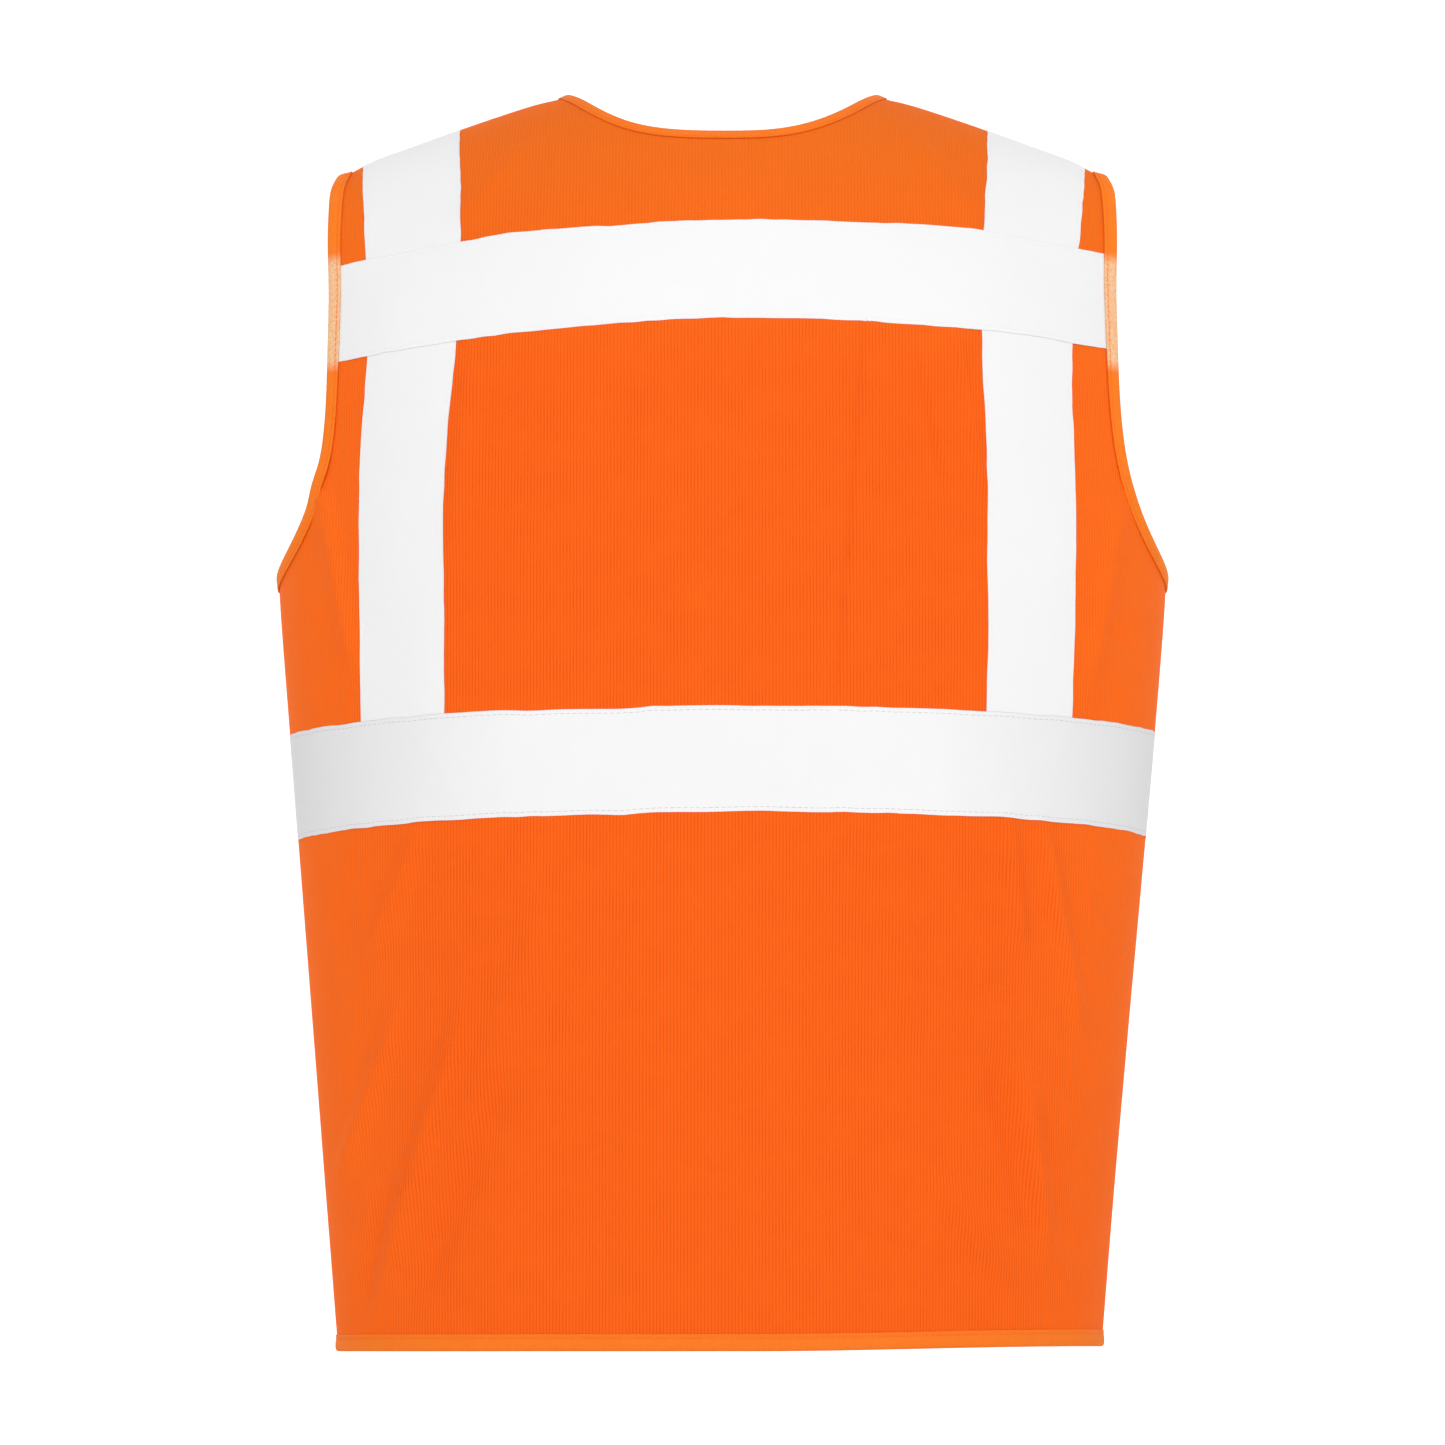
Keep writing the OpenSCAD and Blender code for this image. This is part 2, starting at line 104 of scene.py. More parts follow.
def form_normal(turn, z):
    """Outward directions of the body form, from its slopes across and down."""
    turn, z = np.broadcast_arrays(np.asarray(turn, float), np.asarray(z, float))
    front = np.cos(np.radians(turn)) < 0
    c = np.maximum(np.abs(np.cos(np.radians(turn))), 1e-4)
    a, narrow = half_width(z), (half_width(z + 0.5) - half_width(z - 0.5))
    x = a * np.sin(np.radians(turn))
    depth = np.where(front, FRONT_D, BACK_D * a / UNDERARM_W)
    reach = np.where(front, FRONT_REACH, BACK_REACH)
    bend = np.where(front, FULLNESS, 1.0)
    t = np.clip((seam_z(x) - z) / reach, 1e-7, 1)
    u = 1 - t
    r = np.maximum(1 - u ** FULL, 1e-12) ** (1 / FULL)
    steep = np.where(u > 0, np.maximum(1 - u ** FULL, 1e-12) ** (1 / FULL - 1) * u ** (FULL - 1), 0)
    ridge = -SLOPE * x / np.hypot(x, SOFT)
    shape = c ** bend
    dx = depth * (-bend * shape * (x / a) / (c * c * a) * r + shape * steep * ridge / reach)
    dz = depth * (bend * shape * (x / a) ** 2 / (c * c * a) * narrow * r - shape * steep / reach)
    dz = dz + np.where(front, 0, BACK_D * narrow / UNDERARM_W * shape * r)
    n = np.stack([-dx, np.where(front, 1.0, -1.0), -dz], -1)
    return n / np.linalg.norm(n, axis=-1, keepdims=True)


def armhole_x(z):
    t = np.clip((ARM_TOP_Z - z) / (ARM_TOP_Z - ARM_Z), 0, 1)
    return mix(SHOULDER_W, UNDERARM_W, t ** 3.4)


def side_x(z):
    return np.where(z > ARM_Z, armhole_x(z), half_width(z))


def neckline_z(x):
    return -NECK_DROP * (1 - (np.abs(x) / NECK_W) ** 2.9)


def lapel_x(z):
    return np.where(z > LAPEL_Z, mix(NECK_W, -OVERLAP, z / LAPEL_Z), -OVERLAP)


def lean(x, z):
    return np.degrees(np.arcsin(np.clip(x / half_width(z), -1, 1)))


# ---------------------------------------------------------------- folds in the cloth
def smooth_noise(x, z, sx, sz, seed):
    """Soft value noise, the same on every run."""
    u, v = x / sx + 40.0, z / sz + 40.0
    i, j = np.floor(u), np.floor(v)
    fu, fv = ease(u - i), ease(v - j)

    def dot(a, b):
        n = np.sin(a * 127.1 + b * 311.7 + seed * 74.7) * 43758.5453
        return (n - np.floor(n)) * 2 - 1

    return mix(mix(dot(i, j), dot(i + 1, j), fu), mix(dot(i, j + 1), dot(i + 1, j + 1), fu), fv)


def crease(x, z, ax, az, bx, bz, width, depth):
    """A long soft fold from a to b, fading at its ends."""
    dx, dz = bx - ax, bz - az
    length = math.hypot(dx, dz)
    t = ((x - ax) * dx + (z - az) * dz) / length ** 2
    off = ((x - ax) * dz - (z - az) * dx) / length
    fade = ease((t + 0.18) / 0.36) * ease((1.18 - t) / 0.36)
    return depth * np.exp(-(off / (0.8 * width)) ** 2) * fade


BACK_FOLDS = [
    # lower left, leaning in towards the top
    (-160, -582, -122, -462, 7, 1.9), (-143, -590, -104, -500, 8, -1.5), (-182, -535, -155, -462, 6, 1.6),
    (-168, -430, -142, -372, 7, 1.4), (-126, -520, -84, -410, 10, 1.1), (-172, -596, -160, -540, 6, -1.2),
    # lower right, nearly upright
    (136, -368, 143, -428, 5, 1.4), (154, -372, 172, -462, 5, 1.6), (146, -492, 157, -574, 7, 1.7),
    (128, -480, 148, -560, 8, -1.3), (104, -540, 136, -586, 9, 1.4), (84, -410, 92, -470, 6, 0.8),
    # between the upright tapes
    (68, -132, 54, -312, 1.6, -0.7), (93, -150, 106, -215, 2.2, -0.8), (112, -140, 124, -214, 3, 0.9),
    (-120, -150, -128, -240, 6, 0.9), (-40, -150, -58, -290, 14, -0.9), (38, -250, 30, -400, 12, 0.7),
    # beside the armholes and at the shoulders
    (-196, -200, -178, -290, 6, 1.2), (192, -214, 176, -300, 6, 1.1), (-96, -34, -128, -76, 8, 0.8),
    (92, -32, 122, -76, 8, 0.8), (0, -48, 8, -78, 16, 0.6),
    (-30, -380, -46, -600, 16, 0.9), (60, -400, 76, -600, 14, -0.9),
]
FRONT_FOLDS = [
    (160, -585, 128, -470, 8, 1.6), (120, -590, 96, -480, 9, -1.3), (-158, -588, -134, -460, 8, 1.7),
    (-120, -575, -92, -470, 10, -1.2), (190, -240, 181, -300, 6, 0.9), (-191, -240, -182, -300, 6, 0.9),
    (92, -160, 84, -300, 10, 1.0), (-94, -170, -86, -300, 10, 1.0), (60, -390, 74, -560, 12, 1.0),
    (-62, -400, -72, -560, 12, 1.1), (100, -40, 118, -80, 9, 0.9), (-100, -40, -118, -80, 9, 0.9),
]


def folds(x, z, turn):
    """How far the cloth stands off the body form, in mm."""
    front = np.cos(np.radians(turn)) < 0
    back_w = sum(crease(x, z, *f) for f in BACK_FOLDS)
    back_w = back_w + 0.55 * smooth_noise(x, z, 62, 118, 1) + 0.2 * smooth_noise(x, z, 23, 41, 2)
    front_w = sum(crease(x, z, *f) for f in FRONT_FOLDS)
    front_w = front_w + 0.9 * smooth_noise(x, z, 58, 120, 3) + 0.25 * smooth_noise(x, z, 22, 40, 4)
    w = np.where(front, 0.9 * front_w, 2.1 * back_w)
    from_side = np.abs(np.abs((turn + 90) % 180 - 90) - 90)
    down = seam_z(x) - z
    w = w * ease(from_side / 14) * ease(down / 34)
    w = w - 0.5 * np.exp(-(from_side * 1.75 / 1.3) ** 2) * ease((UNDERARM_Z - 6 - z) / 20)
    return w


def settle(p):
    """The right side hangs in a little towards the hem, and its hem rides up."""
    x, z = p[..., 0], p[..., 2]
    pull = 2.4 * ease((UNDERARM_Z - 20 - z) / 300) * ease(x / 170)
    ride = 2.4 * ease((-440 - z) / 178) * ease((x - 10) / 170)
    return p + np.stack([-pull, 0 * pull, ride], -1)


def half_surf(turn, z, d, lap, side):
    """As surf, but not yet turned over to the left side."""
    turn, z, d = np.broadcast_arrays(np.asarray(turn, float), np.asarray(z, float), np.asarray(d, float))
    p, n = form(turn, z), form_normal(turn, z)
    stand = d + lap * ease((turn - 167) / 6.5) + folds(p[..., 0] * side, z, turn)
    p = p + n * stand[..., None]
    # the corner at the tip of the shoulder is worn round
    x = np.abs(p[..., 0])
    near = np.exp(-p[..., 1] ** 2 / 500 - (p[..., 2] - TIP_Z) ** 2 / 90)
    tuck = 2.8 * near * np.exp(-(x - SHOULDER_W) ** 2 / 40)
    wide = 1.6 * ease((x - 150) / 40) * ease((z + 112) / 45)
    across = (wide - tuck) * np.sign(p[..., 0])
    dip = 1.1 * np.exp(-((x - NECK_W) / 12) ** 2) * ease((z + 14) / 14)
    return p + np.stack([across, 0 * x, 0.4 * tuck - dip - 2.2 * near * ease((x - 168) / 16)], -1), n


def surf(turn, z, d, side=RIGHT, lap=0.0):
    """Points d mm outside the cloth's middle, and the outward directions there, in mm."""
    p, n = half_surf(turn, z, d, lap, side)
    flip = np.array([side, 1.0, 1.0])
    return settle(p * flip), n * flip


# ---------------------------------------------------------------- mesh helpers
def new_mesh(name, verts, faces, uvs=None):
    mesh = bpy.data.meshes.new(name)
    mesh.from_pydata((np.asarray(verts) * MM).tolist(), [], [list(map(int, f)) for f in faces])
    mesh.validate(clean_customdata=False)
    if uvs is not None:
        layer = mesh.uv_layers.new(name="cloth")
        index = np.zeros(len(mesh.loops), np.int32)
        mesh.loops.foreach_get("vertex_index", index)
        layer.data.foreach_set("uv", (np.asarray(uvs)[index] * MM).astype(np.float32).ravel())
    mesh.polygons.foreach_set("use_smooth", np.full(len(mesh.polygons), True))
    mesh.update()
    obj = bpy.data.objects.new(name, mesh)
    bpy.context.scene.collection.objects.link(obj)
    return obj


ARC_TURNS = np.linspace(-90, 200, 2901)
ARC_C = np.cos(np.radians(ARC_TURNS))
ARC = np.concatenate([[0], np.cumsum(np.hypot(
    np.diff(UNDERARM_W * np.sin(np.radians(ARC_TURNS))),
    np.diff(np.where(ARC_C > 0, -BACK_D * ARC_C, FRONT_D * np.abs(ARC_C) ** FULLNESS))))])


def girth(turn, z):
    """How far round the cloth a place is from the middle of its panel, in mm: the ribs run upright."""
    middle = 180 if np.mean(turn) > 90 else 0
    along = np.interp(turn, ARC_TURNS, ARC) - np.interp(middle, ARC_TURNS, ARC)
    return half_width(z) / UNDERARM_W * along


def grid_uv(points):
    """Real lengths over a grid of points: across each row from its middle, and up each column."""
    across = np.linalg.norm(np.diff(points, axis=1), axis=-1)
    u = np.concatenate([np.zeros((len(points), 1)), np.cumsum(across, 1)], 1)
    u = u - u[:, points.shape[1] // 2][:, None]
    up = np.linalg.norm(np.diff(points, axis=0), axis=-1)
    v = np.concatenate([np.zeros((1, points.shape[1])), np.cumsum(up, 0)], 0)
    return np.stack([u, v], -1)


def cloth_solid(name, outer, inner, flip, across):
    """A closed thin piece between two grids of points. Its rim is rounded by a middle line."""
    rows, cols = outer.shape[:2]
    count = rows * cols
    ids = np.arange(count).reshape(rows, cols)
    a, b, c, d = ids[:-1, :-1].ravel(), ids[1:, :-1].ravel(), ids[1:, 1:].ravel(), ids[:-1, 1:].ravel()
    out = np.stack([d, c, b, a], 1)
    ins = np.stack([a, b, c, d], 1) + count
    loop = np.concatenate([ids[0, :-1], ids[:-1, -1], ids[-1, :0:-1], ids[:0:-1, 0]])
    nxt = np.roll(loop, -1)
    flat_out, flat_in = outer.reshape(-1, 3), inner.reshape(-1, 3)
    centre = 0.5 * (flat_out[loop] + flat_in[loop])
    thick = np.linalg.norm(flat_out[loop] - flat_in[loop], axis=1, keepdims=True)
    run = centre[(np.arange(len(loop)) + 1) % len(loop)] - centre[np.arange(len(loop)) - 1]
    away = np.cross(run, flat_out[loop] - flat_in[loop])
    away = away / np.maximum(np.linalg.norm(away, axis=1, keepdims=True), 1e-9)
    if flip:
        away = -away
    rim = centre + away * thick * 0.35
    mid = 2 * count + np.arange(len(loop))
    mid_next = np.roll(mid, -1)
    r1 = np.stack([loop, mid, mid_next, nxt], 1)[:, ::-1]
    r2 = np.stack([mid, loop + count, nxt + count, mid_next], 1)[:, ::-1]
    faces = np.concatenate([out, ins, r1, r2])
    if flip:
        faces = faces[:, ::-1]
    verts = np.concatenate([flat_out, flat_in, rim])
    uv = grid_uv(outer)
    if across is not None:
        uv[..., 0] = across
    uv = uv.reshape(-1, 2)
    uvs = np.concatenate([uv, uv, uv[loop]])
    return new_mesh(name, verts, faces, uvs)


def ring_faces(first, following):
    """Quads between rings of vertex numbers and the rings that follow them."""
    quads = np.stack([first, np.roll(first, -1, -1), np.roll(following, -1, -1), following], -1)
    return quads.reshape(-1, 4).tolist()


def sweep(name, path, section, side, lap, closed, pucker, pitch):
    """A folded strip along a path of (turn, height), with the cloth on the left of the path."""
    turn, z = np.array(path, float).T
    spine, out = half_surf(turn, z, 0, lap, side)
    if closed:
        run = np.roll(spine, -1, 0) - np.roll(spine, 1, 0)
    else:
        run = np.gradient(spine, axis=0)
    inward = np.cross(out, run)
    inward /= np.linalg.norm(inward, axis=1, keepdims=True)
    step = np.linalg.norm(np.diff(spine, axis=0), axis=1)
    length = np.concatenate([[0], np.cumsum(step)])
    sec = np.array(section, float)
    k, n = len(sec), len(spine)
    s, h = sec[:, 0][None, :], sec[:, 1][None, :]
    squeeze = 1 + pucker * np.sin(2 * np.pi * length / pitch)[:, None] * (np.abs(h) > 0.7)
    pts = spine[:, None] + inward[:, None] * s[..., None] + out[:, None] * (h * squeeze)[..., None]
    sec_len = np.concatenate([[0], np.cumsum(np.linalg.norm(np.diff(sec, axis=0), axis=1))])
    uv = np.stack(np.broadcast_arrays(length[:, None], sec_len[None, :]), -1)
    ids = np.arange(n * k).reshape(n, k)
    if closed:
        nxt = np.roll(ids, -1, 0)
        first = ids
    else:
        nxt, first = ids[1:], ids[:-1]
    faces = ring_faces(first, nxt)
    pts = settle(pts.reshape(-1, 3) * np.array([side, 1.0, 1.0]))
    half = k // 2
    if not closed:
        for base, rev in ((0, True), ((n - 1) * k, False)):
            for i in range(half - 1):
                quad = [base + i, base + i + 1, base + k - 2 - i, base + k - 1 - i]
                faces.append(quad[::-1] if not rev else quad)
    faces = [f[::-1] for f in faces] if side == RIGHT else faces
    obj = new_mesh(name, pts, faces, uv.reshape(-1, 2))
    obj["strip"] = float(length[-1])
    return obj


def binding_section(over, share):
    """Half a millimetre thick cloth folded round an edge: (reach into the cloth, height off its middle)."""
    face = [(7.0, 0.98), (6.4, 1.12), (5.6, 1.0), (5.0, 0.98), (4.2, 1.22), (2.8, 1.42), (1.2, 1.48)]
    nose = [(0.0, 1.38), (-0.75, 0.95)]
    lining = [(7.0, 0.45), (5.6, 0.42), (4.2, 0.55), (2.8, 0.7), (1.2, 0.75), (0.2, 0.72), (-0.3, 0.5),
              (-0.5, 0.2), (-0.55, 0.1)]
    outer = [(s, h + over) for s, h in face] + nose + [(-1.1, 0.0)]
    outer += [(s, -h) for s, h in reversed(face + nose)]
    inner = [(s, -h) for s, h in lining] + lining[:0:-1] + [(6.3, 0.42), lining[0]]
    return [(s * share if s > 0 else s, h) for s, h in outer + inner]


def dashes(name, points, normals, closed, pitch, length, width, height):
    """A row of raised stitches along a line of points."""
    if closed:
        points = np.concatenate([points, points[:1]])
        normals = np.concatenate([normals, normals[:1]])
    step = np.linalg.norm(np.diff(points, axis=0), axis=1)
    run = np.concatenate([[0], np.cumsum(step)])
    at = np.arange(pitch / 2, run[-1] - length / 2, pitch)
    pos = np.stack([np.interp(at, run, points[:, i]) for i in range(3)], 1)
    nor = np.stack([np.interp(at, run, normals[:, i]) for i in range(3)], 1)
    ahead = np.stack([np.interp(at + 0.4, run, points[:, i]) for i in range(3)], 1)
    tan = ahead - pos
    bad = np.linalg.norm(tan, axis=1) < 1e-6
    tan[bad] = np.array([1.0, 0, 0])
    tan /= np.linalg.norm(tan, axis=1, keepdims=True)
    nor = nor - tan * np.sum(nor * tan, 1, keepdims=True)
    nor /= np.linalg.norm(nor, axis=1, keepdims=True)
    wide = np.cross(nor, tan)
    around = 6
    template = []
    for t, r in [(-0.5, 0.35), (-0.36, 0.85), (0.0, 1.0), (0.36, 0.85), (0.5, 0.35)]:
        for k in range(around):
            a = 2 * math.pi * k / around
            template.append((t * length, math.cos(a) * r * width / 2, math.sin(a) * r * height / 2))
    template = np.array(template)
    verts = (pos[:, None] + tan[:, None] * template[None, :, 0:1] + wide[:, None] * template[None, :, 1:2]
             + nor[:, None] * template[None, :, 2:3]).reshape(-1, 3)
    ids = np.arange(len(template)).reshape(-1, around)
    starts = np.arange(len(at)) * len(template)
    faces = (np.array(ring_faces(ids[:-1], ids[1:]))[None] + starts[:, None, None]).reshape(-1, 4).tolist()
    for start in starts:
        faces.append((start + ids[0, ::-1]).tolist())
        faces.append((start + ids[-1]).tolist())
    return new_mesh(name, verts, faces)


def join(name, parts):
    """Joins pieces into one mesh object."""
    verts, faces, base = [], [], 0
    for o in parts:
        me = o.data
        co = np.zeros(len(me.vertices) * 3)
        me.vertices.foreach_get("co", co)
        verts.append(co.reshape(-1, 3) / MM)
        faces += [[base + i for i in p.vertices] for p in me.polygons]
        base += len(me.vertices)
        bpy.data.objects.remove(o)
        bpy.data.meshes.remove(me)
    return new_mesh(name, np.concatenate(verts), faces)


def tube(name, points, radius):
    """A thin thread along a line of points."""
    points = np.asarray(points)
    tan = np.gradient(points, axis=0)
    tan /= np.maximum(np.linalg.norm(tan, axis=1, keepdims=True), 1e-9)
    ref = np.array([0.31, 0.27, 0.91])
    a = np.cross(tan, ref)
    a /= np.linalg.norm(a, axis=1, keepdims=True)
    b = np.cross(tan, a)
    sides = 4
    ang = np.arange(sides) * 2 * math.pi / sides
    ring = a[:, None] * np.cos(ang)[None, :, None] + b[:, None] * np.sin(ang)[None, :, None]
    pts = points[:, None] + radius * ring
    ids = np.arange(len(points) * sides).reshape(-1, sides)
    faces = ring_faces(ids[:-1], ids[1:])
    faces.append(ids[0].tolist()[::-1])
    faces.append(ids[-1].tolist())
    return new_mesh(name, pts.reshape(-1, 3), faces)


# ---------------------------------------------------------------- materials
class Nodes:
    """A new material, and short ways to add and link its shader nodes."""

    def __init__(self, name):
        self.material = bpy.data.materials.new(name)
        self.material.use_nodes = True
        self.tree = self.material.node_tree

    def finish(self, values):
        """Sets or links the surface's sockets, and gives the material."""
        shader = self.tree.nodes["Principled BSDF"]
        for socket, value in values.items():
            self.put(shader.inputs[socket], value)
        return self.material

    def put(self, socket, value):
        if isinstance(value, bpy.types.NodeSocket):
            self.tree.links.new(value, socket)
        elif isinstance(value, tuple) and len(value) == 3 and socket.type == "RGBA":
            socket.default_value = (*value, 1.0)
        else:
            socket.default_value = value

    def math(self, op, a, b=0.0, c=None):
        node = self.tree.nodes.new("ShaderNodeMath")
        node.operation = op
        self.put(node.inputs[0], a)
        self.put(node.inputs[1], b)
        if c is not None:
            self.put(node.inputs[2], c)
        return node.outputs[0]

    def mul(self, a, b):
        return self.math("MULTIPLY", a, b)

    def add(self, a, b):
        return self.math("ADD", a, b)

    def mul_add(self, a, b, c):
        return self.math("MULTIPLY_ADD", a, b, c)

    def clamp(self, a):
        return self.math("MAXIMUM", self.math("MINIMUM", a, 1.0), 0.0)

    def uv(self):
        node = self.tree.nodes.new("ShaderNodeUVMap")
        node.uv_map = "cloth"
        split = self.tree.nodes.new("ShaderNodeSeparateXYZ")
        self.tree.links.new(node.outputs[0], split.inputs[0])
        return node.outputs[0], split.outputs[0], split.outputs[1]

    def place(self):
        node = self.tree.nodes.new("ShaderNodeTexCoord")
        split = self.tree.nodes.new("ShaderNodeSeparateXYZ")
        self.tree.links.new(node.outputs["Object"], split.inputs[0])
        return node.outputs["Object"], split.outputs[0], split.outputs[1], split.outputs[2]

    def noise(self, vector, scale, detail=2.0, rough=0.5):
        node = self.tree.nodes.new("ShaderNodeTexNoise")
        node.inputs["Scale"].default_value = scale
        node.inputs["Detail"].default_value = detail
        node.inputs["Roughness"].default_value = rough
        self.tree.links.new(vector, node.inputs["Vector"])
        return node.outputs["Fac"]

    def colour(self, fac, a, b):
        node = self.tree.nodes.new("ShaderNodeMix")
        node.data_type = "RGBA"
        self.put(node.inputs["Factor"], fac)
        self.put(node.inputs["A"], a)
        self.put(node.inputs["B"], b)
        return node.outputs["Result"]

    def bump(self, height, strength, distance):
        node = self.tree.nodes.new("ShaderNodeBump")
        node.inputs["Strength"].default_value = strength
        node.inputs["Distance"].default_value = distance
        self.put(node.inputs["Height"], height)
        return node.outputs[0]


def rib(n, coordinate, pitch):
    """0 to 1, once per pitch (metres) along a coordinate."""
    turns = n.mul_add(coordinate, 2 * math.pi / pitch, 0.0)
    return n.mul_add(n.math("SINE", turns), 0.5, 0.5)


def knit_material(name, light, dark, rib_gap_shade, side_painted_light, wear_and_painted_shade):
    """Fine warp-knitted polyester: upright ribs of small loops that step sideways from row to row."""
    n = Nodes(name)
    vec, u, v = n.uv()
    wale, course = 0.00160, 0.00125
    step = n.mul(n.math("SINE", n.mul(v, math.pi / course)), 0.00006)
    u2 = n.add(u, step)
    ribs = rib(n, u2, wale)
    half = n.mul(n.math("FLOOR", n.math("DIVIDE", u2, wale)), math.pi)
    rows = n.add(n.mul(v, 2 * math.pi / course), half)
    loops = n.mul_add(n.math("SINE", rows), 0.5, 0.5)
    pile = n.mul_add(loops, 0.42, n.mul(ribs, 0.58))
    fuzz = n.noise(vec, 2600.0, 2.0, 0.6)
    cloud = n.noise(vec, 9.0, 4.0, 0.6)
    broad = n.noise(vec, 2.4, 2.0, 0.5)
    grain = n.add(n.mul(pile, 0.72), n.mul(fuzz, 0.52))
    # painted shade: the grooves between the ribs are painted darker
    gap = n.mul(n.math("POWER", n.math("SUBTRACT", 1.0, ribs), 3.0),
                n.mul_add(n.noise(vec, 55.0, 3.0, 0.6), 1.8, -0.3))
    tone = n.add(n.mul(grain, 0.74), n.mul(cloud, 0.18))
    base = n.colour(tone, dark, light)
    base = n.colour(n.mul(gap, n.mul_add(fuzz, 0.6, 0.2)), base, rib_gap_shade)
    # painted light and painted shade: the cloth is painted brighter and yellower towards the sides, where
    # the lamps light it less, and darker on the shoulders
    _, x, _, z = n.place()
    spread = n.mul_add(broad, 0.5, 0.45)
    top = n.mul(n.add(z, 0.16), 7.5)
    out = n.mul(n.math("SUBTRACT", n.math("ABSOLUTE", x), 0.13), 9.0)
    for way, tint in ((out, side_painted_light), (top, wear_and_painted_shade)):
        base = n.colour(n.mul(n.clamp(way), spread), base, tint)
    return n.finish({"Base Color": base, "Roughness": n.mul_add(fuzz, 0.12, 0.70),
                     "Specular IOR Level": 0.10, "Sheen Weight": 0.6, "Sheen Roughness": 0.4,
                     "Sheen Tint": (1.0, 0.20, 0.03, 1.0),
                     "Normal": n.bump(n.add(pile, n.mul(fuzz, 0.45)), 0.45, 0.00024)})


def binding_material(name, light, dark, pale=None):
    """Narrow woven binding with fine cross ribs."""
    n = Nodes(name)
    vec, u, v = n.uv()
    ribs = rib(n, u, 0.00085)
    fine = rib(n, v, 0.0006)
    fuzz = n.noise(vec, 1800.0, 2.0, 0.6)
    cloud = n.noise(vec, 60.0, 3.0, 0.6)
    weave = n.add(n.mul(ribs, 0.6), n.mul(fine, 0.3))
    tone = n.add(n.mul(weave, 0.45), n.add(n.mul(fuzz, 0.30), n.mul(cloud, 0.35)))
    base = n.colour(tone, dark, light)
    if pale is not None:
        # where the reflective tape ends lie under it, the thin binding looks pale and mottled
        place, _, y, z = n.place()
        top = n.math("SMOOTH_MIN", n.mul(n.math("SUBTRACT", z, -0.148), 160.0), 1.0, 0.1)
        low = n.math("SMOOTH_MIN", n.mul(n.math("SUBTRACT", -0.086, z), 160.0), 1.0, 0.1)
        rear = n.math("LESS_THAN", y, -0.02)
        inside = n.mul(n.math("MAXIMUM", n.math("MINIMUM", top, low), 0.0), rear)
        blotch = n.mul_add(n.noise(place, 900.0, 4.0, 0.7), 5.0, -2.0)
        amount = n.mul(inside, n.mul_add(n.clamp(blotch), 0.42, 0.42))
        base = n.colour(amount, base, pale)
    return n.finish({"Base Color": base, "Roughness": n.mul_add(fuzz, 0.15, 0.58),
                     "Specular IOR Level": 0.10, "Sheen Weight": 0.2, "Sheen Roughness": 0.35,
                     "Sheen Tint": (1.0, 0.40, 0.08, 1.0),
                     "Normal": n.bump(n.add(weave, n.mul(fuzz, 0.3)), 0.5, 0.0002)})


def tape_material(name, painted_side_shade):
    """Retroreflective cloth tape: pale silver grey, with fine glass grain and a faint weave below."""
    n = Nodes(name)
    vec, u, v = n.uv()
    grain = n.noise(vec, 5200.0, 2.0, 0.7)
    weave = n.mul(rib(n, u, 0.0011), rib(n, v, 0.0011))
    cloud = n.noise(vec, 16.0, 4.0, 0.6)
    rub = n.noise(vec, 95.0, 5.0, 0.75)
    wear_and_painted_shade = n.math("GREATER_THAN", rub, 0.69)
    base = n.colour(n.mul(cloud, 0.7), (0.84, 0.84, 0.85), (0.885, 0.885, 0.888))
    base = n.colour(n.mul(grain, 0.12), base, (0.70, 0.70, 0.71))
    base = n.colour(n.mul(wear_and_painted_shade, 0.06), base, (0.60, 0.60, 0.61))
    # painted shade: duller towards the sides, where the tape turns away from the light
    x = n.place()[1]
    out = n.mul(n.math("SUBTRACT", n.math("ABSOLUTE", x), 0.10), 9.0)
    base = n.colour(n.mul(n.clamp(out), painted_side_shade), base, (0.66, 0.655, 0.66))
    return n.finish({"Base Color": base, "Roughness": n.mul_add(grain, 0.16, 0.52),
                     "Specular IOR Level": 0.35, "Metallic": 0.0, "Sheen Weight": 0.05,
                     "Normal": n.bump(n.add(n.mul(weave, 0.5), grain), 0.25, 0.00012)})


def thread_material(name, light, dark):
    n = Nodes(name)
    ply = n.noise(n.place()[0], 3200.0, 2.0, 0.6)
    return n.finish({"Base Color": n.colour(ply, dark, light), "Roughness": n.mul_add(ply, 0.2, 0.45),
                     "Specular IOR Level": 0.15, "Normal": n.bump(ply, 0.4, 0.0001)})


def plain_weave_material(name, light, dark, pitch):
    n = Nodes(name)
    vec, u, v = n.uv()
    weave = n.mul(rib(n, u, pitch), rib(n, v, pitch))
    fuzz = n.noise(vec, 2200.0, 2.0, 0.6)
    tone = n.mul_add(weave, 0.6, n.mul(fuzz, 0.4))
    return n.finish({"Base Color": n.colour(tone, dark, light), "Roughness": n.mul_add(fuzz, 0.2, 0.55),
                     "Normal": n.bump(weave, 0.5, 0.00015)})


# the third colour is painted shade for the grooves between the ribs; the last two are painted light for the
# sides and painted shade for the shoulders
knit = knit_material("orange_knit", (0.98, 0.142, 0.0075), (0.84, 0.095, 0.004), (0.62, 0.045, 0.001),
                     (1.0, 0.185, 0.013), (0.80, 0.160, 0.009))
bound = binding_material("orange_binding", (0.95, 0.225, 0.021), (0.86, 0.148, 0.008))
bound_arm = binding_material("orange_armhole_binding", (1.0, 0.250, 0.020), (0.88, 0.155, 0.006),
                             (0.86, 0.69, 0.43))
